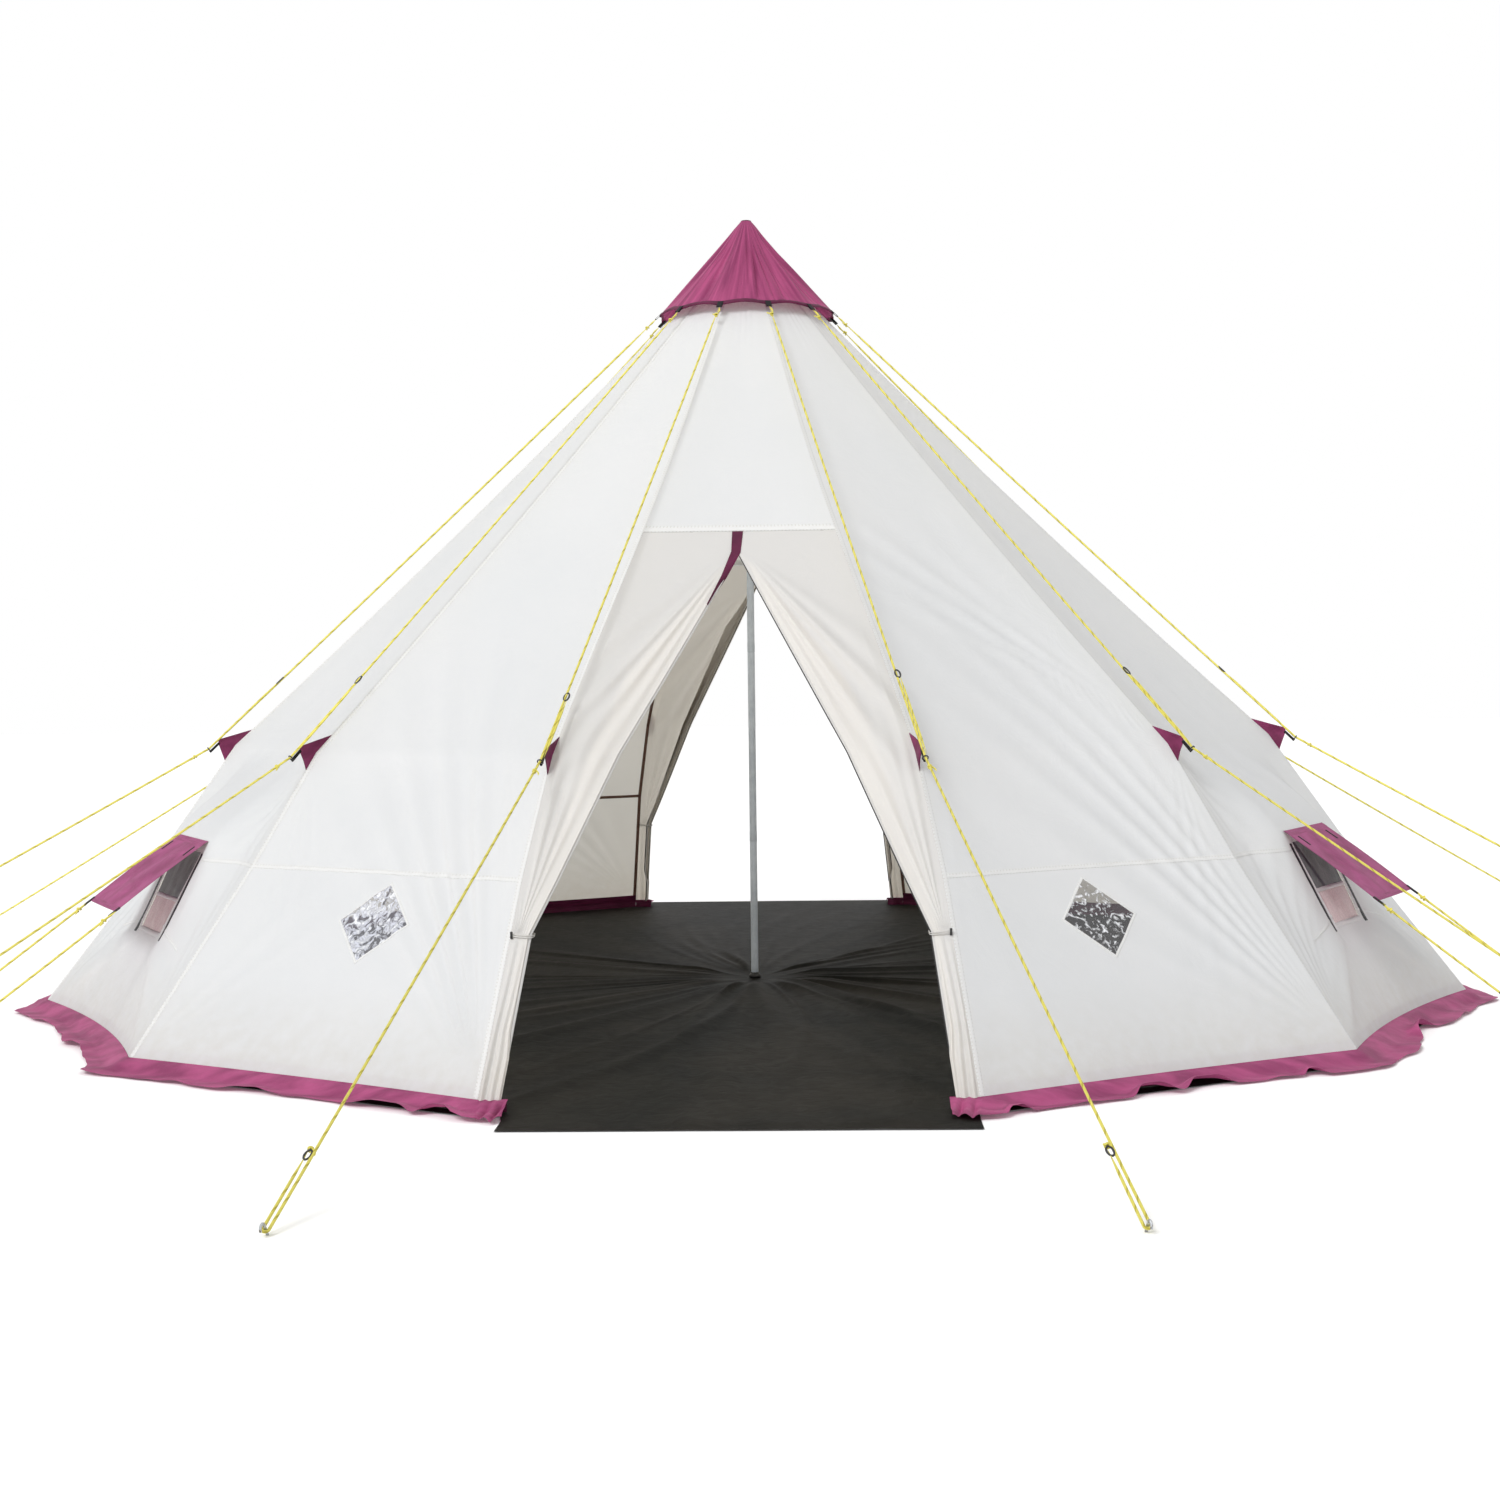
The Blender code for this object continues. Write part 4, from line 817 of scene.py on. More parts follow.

# A coil zip is woven tape either side of a black nylon coil whose turns catch the light in fine ribs;
# the ribs' lighter tone is a painted highlight.
coil_zip, tree, out = new_material("black_coil_zip")
flat = add_node(tree, "UVMap", uv_map="flat")
# Real coil turns are 1.5 mm apart; they are drawn 6 mm apart.
ribs = add_node(tree, "TexWave", {"Vector": flat, "Scale": 52.0, "Distortion": 0.2}, bands_direction="X")
tone = add_node(tree, "Mix", {"Factor": ribs.outputs["Fac"], "A": srgb("#121212"), "B": srgb("#2e2d2f")},
                data_type="RGBA")
ribbed = add_node(tree, "Bump", {"Height": ribs.outputs["Fac"], "Strength": 0.7, "Distance": 0.0012})
teeth = add_node(tree, "BsdfPrincipled", {"Base Color": tone, "Roughness": 0.42, "Normal": ribbed})
tree.links.new(teeth.outputs[0], out.inputs[0])


def vent_half(height):
    """Half the vent's width: a straight taper from its top to its foot."""
    return np.interp(height, (VENT_BOTTOM, VENT_TOP), (VENT_BOTTOM_HALF, VENT_TOP_HALF))


zip_lines, hem_lines = [], []
for side, word in SIDES:
    face = side * VENT_FACE
    for title, low, high, cloth, seed in (("mesh", MESH_FOOT, VENT_TOP - 0.001, insect_mesh, 3.0),
                                          ("sheer", VENT_BOTTOM + 0.001, MESH_FOOT, rosy_sheer, 8.0)):
        height = np.linspace(low, high, 40)[:, None]
        share = np.linspace(-0.998, 0.998, 61)[None, :]
        x = share * vent_half(height)
        hang = 0.004 * np.sin(38 * x + seed * side + 9 * height) * np.sin(17 * x + seed) * (1 - share ** 6)
        rows_free = np.clip((height - low) / 0.03, 0, 1) * np.clip((high - height) / 0.03, 0, 1)
        points = wall_at(face, x, height, hang * rows_free - 0.0045)
        panel = grid_piece(f"vent_{title}_{word}", [points], cloth, flat_lengths)
        size, area = flat_cut(points)
        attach(panel, "tent")
        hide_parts(f"vent_cloth_{word}")
    for edge in (-1, 1):
        height = np.linspace(VENT_TOP - 0.002, VENT_BOTTOM - 0.018, 70)[:, None]
        offsets = np.array([-0.0115, -0.0105, -0.0045, -0.0018, 0.0018, 0.0045, 0.0105, 0.0115])
        raised = np.array([0.0002, 0.001, 0.0012, 0.0026, 0.0026, 0.0012, 0.001, 0.0002])
        fallen = (VENT_TOP - height) / (VENT_TOP - VENT_BOTTOM)
        x = edge * (vent_half(height) + ZIP_MARGIN + ZIP_SPLAY * fallen) + offsets
        zip_lines.append(wall_at(face, x, height, raised))
    for level, wide, raised in ((MESH_FOOT, 0.014, (-0.007, -0.0022, -0.0022, -0.007)),
                                (VENT_BOTTOM - 0.004, 0.016, (0.0001, 0.0012, 0.0012, -0.004))):
        share = np.linspace(-1, 1, 40)[:, None]
        up = level + np.array([-0.5, -0.42, 0.42, 0.5]) * wide
        x = share * (vent_half(up) + 0.001)
        hem_lines.append(wall_at(face, x, up, np.array(raised)))
vent_zips = grid_piece("vent_zips", zip_lines, coil_zip, band_flat)
vent_hems = grid_piece("vent_hems", hem_lines, seam_band, band_flat, turned=True)
for piece, finish in ((vent_zips, "zip_tape"), (vent_hems, "canvas")):
    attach(piece, "tent")


# Plum cloth: the same coated canvas dyed plum, used for awnings, cap, skirts and triangles. It is
# smoother than the walls, and the light and shade of its folds is painted as lighter and darker
# streaks. Some pieces take lighter and darker copies of it: painted light and shade.

def plum_material(name, light, dark, streaks=(9.0, 9.0), clear=0.15):
    """Dyed canvas: two tones of plum by soft patches stretched along its folds, which paint the light and
    shade of the folds, a fine weave, small creases and a slight sheen. streaks gives the patches' scale
    across and along the piece, clear the share of daylight that comes through."""
    made, tree, out = new_material(name)
    place = add_node(tree, "TexCoord").outputs["Object"]
    flat = add_node(tree, "UVMap", uv_map="flat")
    folds = add_node(tree, "Mapping", {"Vector": flat, "Scale": (*streaks, 1.0)})
    patches = add_node(tree, "TexNoise", {"Vector": folds, "Scale": 1.0, "Detail": 5.0, "Distortion": 0.4})
    # The threads are 0.4 mm apart; they are drawn 3 mm apart.
    warp = add_node(tree, "TexWave", {"Vector": flat, "Scale": 105.0}, bands_direction="X")
    weft = add_node(tree, "TexWave", {"Vector": flat, "Scale": 105.0}, bands_direction="Y")
    weave = add_node(tree, "Math", {0: warp.outputs["Fac"], 1: weft.outputs["Fac"]}, operation="MULTIPLY")
    creases_small = add_node(tree, "TexNoise", {
        "Vector": place, "Scale": 30.0, "Detail": 6.0, "Distortion": 1.5})
    # Painted light and shade of the folds: the stretched patches pick between the darker and lighter plum.
    tone = add_node(tree, "ValToRGB", {"Fac": patches})
    for stop, place_on, code in zip(tone.color_ramp.elements, (0.36, 0.62), (dark, light)):
        stop.position, stop.color = place_on, srgb(code)
    crushed = add_node(tree, "Bump", {"Height": creases_small, "Strength": 0.4, "Distance": 0.004})
    woven = add_node(tree, "Bump", {"Height": weave, "Strength": 0.1, "Distance": 0.0006, "Normal": crushed})
    gloss = add_node(tree, "MapRange", {"Value": creases_small, "To Min": 0.5, "To Max": 0.7})
    cloth = add_node(tree, "BsdfPrincipled", {
        "Base Color": tone, "Roughness": gloss, "Normal": woven, "Sheen Weight": 0.04,
        "Sheen Roughness": 0.45, "Specular IOR Level": 0.28})
    # Some daylight comes through and tints what is under it.
    through = add_node(tree, "BsdfTranslucent", {"Color": tone, "Normal": woven})
    mixed = add_node(tree, "MixShader", {0: clear, 1: cloth, 2: through})
    tree.links.new(mixed.outputs[0], out.inputs[0])
    return made


# Each plum piece below is a copy of the same dyed cloth in its own tones; the lighter and darker copies are
# painted light and shade.
plum = plum_material("plum_dyed_canvas", "#b0507f", "#8a3862")
# The darker copy is painted shade on the zip cover and on the flap inside the hem; the cap's rim binding and
# top patch are also drawn in it.
plum_shaded = plum_material("plum_binding_and_painted_shade", "#651d42", "#4d1432")
# The awnings' copy is darker: painted shade.
awning_plum = plum_material("plum_awning_cloth", "#a2477a", "#84345f")


# Awnings: a plum flap over each vent, hemmed all round and sewn to the wall along its top edge. Two
# pegged ropes hold its outer corners, so that it slopes down and out like a small roof.

AWNING_WIDTH = 0.44
AWNING_REACH = 0.32
AWNING_DROP = 0.225
AWNING_ARCH = 0.004
WEBBING_THICKNESS = 0.0012
AWNING_LENGTH = math.hypot(AWNING_REACH, AWNING_DROP)
AWNING_TOP = {side: np.array([side * 1.9622, -1.1329, AWNING_HEIGHT]) for side in (-1, 1)}


def awning_ways(side):
    """An awning's directions down its slope, up from it, and level along its hinge line."""
    outward = outward_of(side * VENT_FACE)
    down = (outward * AWNING_REACH - UP * AWNING_DROP) / AWNING_LENGTH
    return down, (outward * AWNING_DROP + UP * AWNING_REACH) / AWNING_LENGTH, along_of(side * VENT_FACE)


def awning_point(side, share, across, lift):
    """A point of an awning: share runs down its slope, across from -1 to 1 along its hinge, and it arches
    up along its length as the half wave of a sine, and a little across."""
    down, normal, along = awning_ways(side)
    share, across, lift = np.broadcast_arrays(share, across, lift)
    rise = lift + AWNING_ARCH * np.sin(math.pi * share) + 0.002
    ripple = 0.0035 * np.sin(math.pi * share) * np.sin(5.5 * across + 3 * share + side)
    rise = rise + ripple * (1 - across ** 2) - 0.006 * np.clip(share - 0.6, 0, 1) * (1 - across ** 2)
    parts = (share * AWNING_LENGTH, rise, across * AWNING_WIDTH / 2)
    return AWNING_TOP[side] + sum(part[..., None] * way for part, way in zip(parts, (down, normal, along)))


# Woven webbing has a herringbone of narrow slanting ribs and a dull silky gloss.
webbing, tree, out = new_material("black_polyester_webbing")
flat = add_node(tree, "UVMap", uv_map="flat")
ribs = add_node(tree, "TexWave", {"Vector": flat, "Scale": 120.0, "Distortion": 1.5},
                bands_direction="DIAGONAL")
tone = add_node(tree, "Mix", {"Factor": ribs.outputs["Fac"], "A": srgb("#0b0b0d"), "B": srgb("#1c1b1e")},
                data_type="RGBA")
ribbed = add_node(tree, "Bump", {"Height": ribs.outputs["Fac"], "Strength": 0.5, "Distance": 0.0006})
strap = add_node(tree, "BsdfPrincipled", {
    "Base Color": tone, "Roughness": 0.6, "Normal": ribbed, "Specular IOR Level": 0.2})
tree.links.new(strap.outputs[0], out.inputs[0])


def thicken_webbing(piece):
    """Gives a folded strap its real thickness, half of it to either side."""
    thickness = piece.modifiers.new("webbing_thickness", "SOLIDIFY")
    thickness.thickness = WEBBING_THICKNESS
    thickness.offset = 0.0


# The hems of the awning are the same plum cloth turned over. Two slots near the hinge, each with a dark
# stitched edge, take the ties that hold the awning when it is rolled up.
for side, word in SIDES:
    share, across = np.linspace(0, 1, 60)[:, None], np.linspace(-1, 1, 70)[None, :]
    points = awning_point(side, share, across, 0.0)
    awning = grid_piece(f"awning_cloth_{word}", [points], awning_plum, flat_lengths, turned=True)
    hems = []
    ease = np.array([0.1, 1.0, 1.0, 0.1]) * 0.0009
    for start, end in ((0.0, 0.075), (0.94, 1.0)):
        strip = awning_point(side, np.linspace(start, end, 4)[:, None], across, ease[:, None])
        hems.append(strip[::-1].transpose(1, 0, 2))
    for start, end in ((-1.0, -0.93), (0.93, 1.0)):
        hems.append(awning_point(side, share, np.linspace(start, end, 4), ease)[:, ::-1])
    borders = grid_piece(f"awning_hems_{word}", hems, awning_plum, band_flat)
    slots, loops = [], []
    for middle in (-0.72, 0.72):
        down_slope = np.linspace(0.1, 0.23, 10)[:, None]
        aside = middle + np.array([-1, -0.6, 0.6, 1]) * 0.03 + 0.1 * (down_slope - 0.16)
        slots.append(awning_point(side, down_slope, aside, np.array([0.0001, 0.0016, 0.0016, 0.0001]))[::-1])
    down, proud, along = awning_ways(side)
    for edge in (-1, 1):
        corner = awning_point(side, 1.0, edge * 0.955, 0.0)
        run = np.concatenate([np.linspace(-0.02, 0.026, 6), np.linspace(0.026, -0.02, 6)])
        lift = np.repeat([-0.0014, 0.0016], 6) + 0.0008
        line = corner + down * run[:, None] + proud * lift[:, None]
        loops.append(line[:, None] + along * np.linspace(-0.008, 0.008, 5)[None, :, None])
    slot_edges = grid_piece(f"awning_slots_{word}", slots, webbing, flat_lengths)
    corner_loops = grid_piece(f"awning_corner_loops_{word}", loops, webbing, flat_lengths)
    thicken_webbing(corner_loops)
    for piece, finish in ((awning, "plum_canvas"), (borders, "plum_canvas"), (slot_edges, "black_plastic"),
                          (corner_loops, "black_plastic")):
        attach(piece, f"moving_awning_{word}")
    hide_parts(f"awning_{word}")


# Doors: each doorway has two halves of wall canvas, zipped together up the middle when shut. They are
# tied back to their seams here: the spare cloth is rolled under behind a soft front panel.

DOOR_TOP = 1.652
TIE_HEIGHT = 0.47
TIE_WIDTH = 0.063
FOOT_WIDTH = 0.065
ZIP_WIDTH = 0.022
ZIP_FOOT = 0.145
PLEATS = 6
DEEPEST_PLEAT = 0.064
EDGE_GAP = 0.0002
WAYS = ((-1, "front"), (1, "back"))


def door_seam_x(height):
    """How far a door's seam is from the middle of the doorway."""
    return seam_point(HALF_FACE, height)[..., 0]


def slant(height):
    """Distance down the door from the top of its zip."""
    run = (seam_radius(height) - seam_radius(DOOR_TOP)) * math.cos(HALF_FACE)
    return np.hypot(DOOR_TOP - height, run)


def free_edge_x(height):
    """How far a tied-back free edge is from the doorway's middle: straight from zip top to tie to foot."""
    tie = door_seam_x(TIE_HEIGHT) - TIE_WIDTH
    foot = door_seam_x(HEM_HEIGHT) - FOOT_WIDTH
    above = tie * slant(np.minimum(height, DOOR_TOP)) / slant(TIE_HEIGHT)
    below = tie + (foot - tie) * (TIE_HEIGHT - height) / (TIE_HEIGHT - HEM_HEIGHT)
    return np.where(height >= DOOR_TOP, 0.0, np.where(height >= TIE_HEIGHT, above, below))


def door_point(way, side, x, height, depth=0.0):
    """A point of a door: way is -1 in front and 1 behind, x runs from the middle to the side, and depth
    goes in."""
    x, height, depth = np.broadcast_arrays(x, height, depth)
    half = door_seam_x(height)
    plane = -seam_point(HALF_FACE, height)[..., 1] - face_sag(height, 2 * half) * (1 - (x / half) ** 2)
    return np.stack([side * x, way * (plane - depth), height], -1)


def facing_share(height):
    """1 where the zip edge has its full width, 0 at the top of the zip and below the zip's foot."""
    return np.clip((DOOR_TOP - height) / 0.05, 0, 1) * np.clip((height - ZIP_FOOT) / 0.07, 0, 1)


def soft_ridge(angle, middle, spread):
    """A bell across an angle, both in degrees."""
    return np.exp(-((np.degrees(angle) - middle) / spread) ** 2)


def door_folds(x, height, share, seed):
    """How far the front of a tied-back half bulges: folds from the top of the zip to the shoulder, folds that
    rise from the tie, small puckers at the tie, and below it two upright folds that open towards the hem."""
    down = DOOR_TOP + 0.03 - height
    fallen = np.hypot(x, down)
    off = np.arctan2(x, down)
    shift = 1.2 * math.sin(seed * 3)
    folds = (0.013 * soft_ridge(off, 31.0 + shift, 1.5) + 0.024 * soft_ridge(off, 36.0 + shift, 1.9)
             + 0.028 * soft_ridge(off, 42.0 - shift, 2.3) + 0.014 * soft_ridge(off, 52.0 + shift, 3.6))
    folds = folds * np.sin(math.pi * np.clip((fallen - 0.05) / 0.98, 0, 1)) ** 0.8
    to_tie = door_seam_x(TIE_HEIGHT) - 0.022
    rise = np.maximum(height - TIE_HEIGHT, 0)
    far = np.hypot(to_tie - x, rise)
    lean = np.arctan2(to_tie - x, rise + 1e-6)
    fan = (soft_ridge(lean, 10.5, 2.0) + 1.2 * soft_ridge(lean, 16.5 + shift, 2.2)
           + 0.9 * soft_ridge(lean, 22.5, 2.0))
    folds = folds + 0.014 * fan * np.clip(far / 0.3, 0, 1) * np.exp(-(far / 0.62) ** 2)
    folds = folds + 0.0016 * np.cos(lean * 44) * np.exp(-far / 0.07)
    below = np.clip((TIE_HEIGHT - height) / (TIE_HEIGHT - HEM_HEIGHT), 0, 1)
    upright = np.sin(math.pi * (2.3 * share + 0.25 * np.sin(4 * below + seed))) ** 2
    folds = folds + (0.004 + 0.009 * below) * upright * np.clip(below / 0.12, 0, 1)
    return folds * np.clip(share / 0.12, 0, 1) * np.clip((1 - share) / 0.1, 0, 1) ** 0.7


def door_half(way, side, heights, seed):
    """A tied-back door half over a range of heights. From its seam the cloth runs to its facing as one soft
    panel, rolls under and back behind itself, then returns in narrow deep pleats that hold the spare width,
    and comes out again under the facing. All distances below are measured from the seam."""
    height = heights[:, None]
    free = free_edge_x(height)
    width = door_seam_x(height) - EDGE_GAP - free - ZIP_WIDTH * facing_share(height)
    spread = np.clip(free / 0.06, 0, 1)
    front = width + 0.011 * spread * facing_share(height)
    roll = 0.0022 * spread
    back = np.minimum((0.45 if way < 0 else 0.17) * width, free / 2)
    pleat = np.clip((free - 2 * back) / (2 * PLEATS), 0, DEEPEST_PLEAT - 0.014)
    panel, turn, under, gather, lip = (np.linspace(0, 1, n)[None, :] for n in (72, 9, 12, PLEATS * 10 + 1, 6))
    turn, under, gather, lip = turn[:, 1:], under[:, 1:], gather[:, 1:], lip[:, 1:]
    behind = front - back * under
    place = np.concatenate([front * panel, front + roll * np.sin(math.pi * turn), behind,
                            front - back + (width - 0.003 * spread - front + back) * gather,
                            width - 0.003 * spread * (1 - lip)], 1)
    dips = np.sin(math.pi * PLEATS * gather) ** 2 * (0.94 + 0.06 * np.sin(9 * gather + seed))
    depth = np.concatenate([-0.0055 * spread * panel ** 3,
                            roll * (1 - np.cos(math.pi * turn)) - 0.0055 * spread,
                            (0.0081 * np.clip((width - behind) / 0.008, 0, 1) - 0.0011) * spread,
                            0.012 * spread + pleat * dips, 0.012 * spread * (1 - lip)], 1)
    x = door_seam_x(height) - EDGE_GAP - place
    share = np.concatenate([panel[0], np.ones(place.shape[1] - panel.shape[1])])[None, :]
    calm = np.clip((HEADER_HEIGHT - height) / 0.12, 0, 1)
    depth = depth - door_folds(x, height, share, seed) * calm
    return door_point(way, side, x, height, depth + 0.0006 * (height > HEADER_HEIGHT - 0.002))


# The zip edge: a stiff canvas facing with one side of the door's coil zip along its free edge.
above_rows = np.linspace(HEADER_HEIGHT - 0.0008, TIE_HEIGHT, 110)[::-1]
below_rows = np.linspace(HEM_HEIGHT, TIE_HEIGHT, 44)
COIL_RADIUS = 0.0021
# Distances from the zip edge for follow_zip's rise: door cloth this near would move fully with its zip edge,
# and this far not at all.
FOLLOWS = 0.024
STAYS = 0.0615


def plain(point):
    """The point as three plain numbers."""
    return tuple(map(float, point))


def follow_zip(piece, way, side, lower=False):
    """Works out, for a piece of door cloth, how its share of its zip edge's movement would rise evenly along
    a line square to the edge: through zip top, shoulder height and tie above, through tie and foot below.
    Nothing applies that rise; the piece's placement is only baked into its mesh."""
    top, shoulder, tie, foot = (door_point(way, side, free_edge_x(height), height)
                                for height in np.array([DOOR_TOP, PULL_HEIGHT, TIE_HEIGHT, HEM_HEIGHT]))
    rise = np.cross(shoulder - top, tie - shoulder)
    rise *= -side / (rise[0] * (STAYS - FOLLOWS))
    if lower:
        fall = foot - tie
        rise[2] = -(rise[:2] @ fall[:2]) / fall[2]
    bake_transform(piece)


for way, place in WAYS:
    for side, word in SIDES:
        name = f"{place}_{word}"
        turned = (way * side) < 0
        seed = 1.3 * way + 0.7 * side
        for part, rows in (("upper", above_rows), ("lower", below_rows)):
            points = door_half(way, side, rows, seed)
            half = grid_piece(f"door_{part}_{name}", [points], door_canvas, flat_lengths, turned=turned)
            wide = door_seam_x(rows)
            flat_length = float(np.linalg.norm(np.diff(points[:, 0], axis=0), axis=-1).sum())
            upright_area = (np.diff(rows) * (wide[1:] + wide[:-1]) / 2).sum()
            area = float(upright_area * flat_length / (rows[-1] - rows[0]))
            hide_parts(f"flap_{name}")
            follow_zip(half, way, side, part == "lower")
        rows = np.concatenate([np.linspace(0.14, TIE_HEIGHT, 24),
                               np.linspace(TIE_HEIGHT, DOOR_TOP - 0.002, 84)[1:]])
        height = rows[:, None]
        over = np.array([0.0, 0.001, 0.004, 0.0062, 0.009, 0.02, 0.0212, 0.0216])
        over = over * np.clip(facing_share(height), 0.08, 1)
        deep = np.array([0.004, 0.0018, 0.0006, 0.0008, 0.0004, 0.0002, 0.0006, 0.003])
        facing_points = door_point(way, side, free_edge_x(height) + over, height, deep)
        facing = grid_piece(f"zip_facing_{name}", [facing_points], door_canvas, flat_lengths,
                            turned=not turned)
        turn = np.linspace(0, 2 * math.pi, 9)[None, :-1]
        # The left half's coil lies under its facing; the right half's shows along the edge.
        inset, under = (0.006, 0.0036) if side < 0 else (-0.0006, 0.0012)
        coil_points = door_point(way, side, free_edge_x(height) + inset + COIL_RADIUS * np.cos(turn), height,
                                 under - COIL_RADIUS * np.sin(turn))
        run = np.cumsum(np.gradient(rows))[:, None] + np.zeros(9)
        coil_flat = np.stack([run, 0 * run], -1)
        coil = grid_piece(f"zip_coil_{name}", [coil_points], coil_zip, lambda grid: coil_flat, wraps=True,
                          turned=not turned)
        for piece, finish in ((facing, "canvas"), (coil, "zip_tape")):
            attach(piece, f"moving_zip_edge_{name}")
        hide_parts(f"zip_edge_{name}")
        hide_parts(f"zip_edge_{name}")


# Door ties: an elastic cord sewn inside each door seam goes round the gathered cloth and hooks over a
# small moulded toggle outside.

TOGGLE_LENGTH = 0.022
ELASTIC_RADIUS = 0.0017
# The cord's way round the cloth, as (distance in from the seam, depth).
TIE_PATH = ((0.002, -0.0075), (0.01, -0.0098), (0.03, -0.0105), (0.052, -0.0105), (0.061, -0.0085),
            (0.0655, -0.001), (0.0665, 0.012), (0.0665, 0.045), (0.064, 0.0645), (0.055, 0.071),
            (0.03, 0.0715), (0.01, 0.062), (0.003, 0.035))
STRAND_STEP = 0.0024


def tube_points(path, radius, steps=8):
    """A round cord along a path: at each point a circle square to the path's direction, shut to a point at
    both ends. Frames come from one steady sideways direction, so nothing twists."""
    path = np.asarray(path, float)
    way = np.gradient(path, axis=0)
    way /= np.linalg.norm(way, axis=1, keepdims=True)
    side = np.cross(way, UP)
    weak = np.linalg.norm(side, axis=1) < 0.2
    side[weak] = np.cross(way[weak], np.array([1.0, 0.0, 0.0]))
    side /= np.linalg.norm(side, axis=1, keepdims=True)
    top = np.cross(side, way)
    turn = np.arange(steps) * 2 * math.pi / steps
    radii = np.full(len(path), radius)
    radii[[0, -1]] = radius * 0.05
    spokes = side[:, None] * np.cos(turn)[:, None] + top[:, None] * np.sin(turn)[:, None]
    return path[:, None] + spokes * radii[:, None, None]


def tube_flat(points):
    """Metres along the cord, and 0 to 1 round it."""
    steps = np.linalg.norm(np.diff(points.mean(1), axis=0), axis=-1)
    along = np.concatenate([[0], np.cumsum(steps)])[:, None] + np.zeros(points.shape[1] + 1)
    return np.stack([along, np.linspace(0, 1, points.shape[1] + 1) + np.zeros((len(points), 1))], -1)


# Braided elastic is off-white, with the ribs of its cover drawn 4 mm apart instead of 1 mm.
elastic, tree, out = new_material("white_braided_elastic")
flat = add_node(tree, "UVMap", uv_map="flat")
cover_ribs = add_node(tree, "TexWave", {"Vector": flat, "Scale": 80.0, "Distortion": 1.0},
                      bands_direction="DIAGONAL")
tone = add_node(tree, "Mix", {
    "Factor": cover_ribs.outputs["Fac"], "A": srgb("#bdbbb7"), "B": srgb("#e6e4df")}, data_type="RGBA")
ribbed = add_node(tree, "Bump", {"Height": cover_ribs.outputs["Fac"], "Strength": 0.5, "Distance": 0.0006})
cover_yarn = add_node(tree, "BsdfPrincipled", {"Base Color": tone, "Roughness": 0.7, "Normal": ribbed})
tree.links.new(cover_yarn.outputs[0], out.inputs[0])

toggles = []
stops = np.array(TIE_PATH)
stop_at = np.concatenate([[0], np.cumsum(np.linalg.norm(np.diff(stops, axis=0), axis=1))])
ticks = np.linspace(0, stop_at[-1], 48)
round_path = np.stack([np.interp(ticks, stop_at, stops[:, k]) for k in (0, 1)], 1)
eased = np.stack([np.convolve(np.pad(round_path[:, k], 2, "edge"), np.full(5, 0.2), "valid")
                  for k in (0, 1)], 1)
barrel = turned_grid([(0.0, -0.5), (0.0026, -0.49), (0.0042, -0.4), (0.0036, 0.0), (0.0042, 0.4),
                      (0.0026, 0.49), (0.0, 0.5)], 14) * np.array([1.0, 1.0, TOGGLE_LENGTH])
for way, place in WAYS:
    for side, word in SIDES:
        strands = []
        for step in (-STRAND_STEP, STRAND_STEP):
            drop = TIE_HEIGHT + step - 0.1 * eased[:, 0]
            line = door_point(way, side, door_seam_x(drop) - eased[:, 0], drop, eased[:, 1])
            strands.append(tube_points(line, ELASTIC_RADIUS))
        tie = grid_piece(f"door_tie_{place}_{word}", strands, elastic, tube_flat, wraps=True)
        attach(tie, "tent")
        toggles.append(door_point(way, side, door_seam_x(TIE_HEIGHT) - 0.003, TIE_HEIGHT, -0.0125) + barrel)
door_toggles = grid_piece("door_toggles", toggles, plastic, wraps=True)
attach(door_toggles, "tent")


# Zip cover: a tapering plum strip that hides the shut zip. It is sewn in under the header's hem, and
# with the door open it hangs down along the left half.

def cover_strip(way):
    """A strip along a bent middle line, on the half that is on the left from outside. It narrows to its tip
    and turns edge-on as it falls."""
    run = np.linspace(0, 1, 40)[:, None]
    wide = np.interp(run, (0, 0.3, 1), (0.019, 0.0165, 0.003))
    across = np.linspace(-1, 1, 9)[None, :]
    x = np.interp(run, (0, 0.28, 0.6, 1), (-0.006, -0.01, -0.048, -0.102))
    height = np.interp(run, (0, 0.28, 0.6, 1), (1.7385, 1.662, 1.575, 1.476))
    x = x + across * wide * np.cos(0.75 * run)
    depth = -0.004 + 0.012 * run * across + 0.004 * np.sin(9 * run + 2 * across) * run
    return door_point(way, way, -x, height - across * wide * 0.35 * run, depth)


for way, place in WAYS:
    # The strip is drawn in the darker plum: painted shade, as it turns away from the light.
    cover = grid_piece(f"zip_cover_{place}", [cover_strip(way)], plum_shaded, flat_lengths)
    plain(door_point(way, way, 0.0, 1.7))
    plain(door_point(way, way, 0.02, 1.6))
    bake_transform(cover)


# Mud skirts: a strip of plum cloth sewn to the hem outside the walls. It lies on the ground in loose
# waves, with a puckered outer edge that has sprung up here and there.

SKIRT_WIDTH = 0.11
DOOR_TURN = 0.88
# Where the outer edge has sprung up off the ground: face in degrees, place across it, half width, and
# share of the height.
SPRUNG = ((30, -0.91, 0.06, 0.7), (30, -0.22, 0.09, 1.0), (30, 0.07, 0.12, 1.0), (30, 0.62, 0.045, 0.6),
          (-30, 0.9, 0.09, 0.9), (-30, 0.62, 0.13, 0.6), (-30, -0.15, 0.1, 0.35), (60, -0.1, 0.13, 1.0),
          (-60, 0.3, 0.12, 0.5), (90, 0.2, 0.1, 0.6), (-120, 0.3, 0.14, 0.8), (150, -0.4, 0.12, 0.9),
          (-150, 0.1, 0.1, 0.7), (-90, -0.5, 0.1, 0.5))
SPRUNG_HEIGHT = 0.03
# Half a face's width at the hem.
HEM_HALF = 0.71


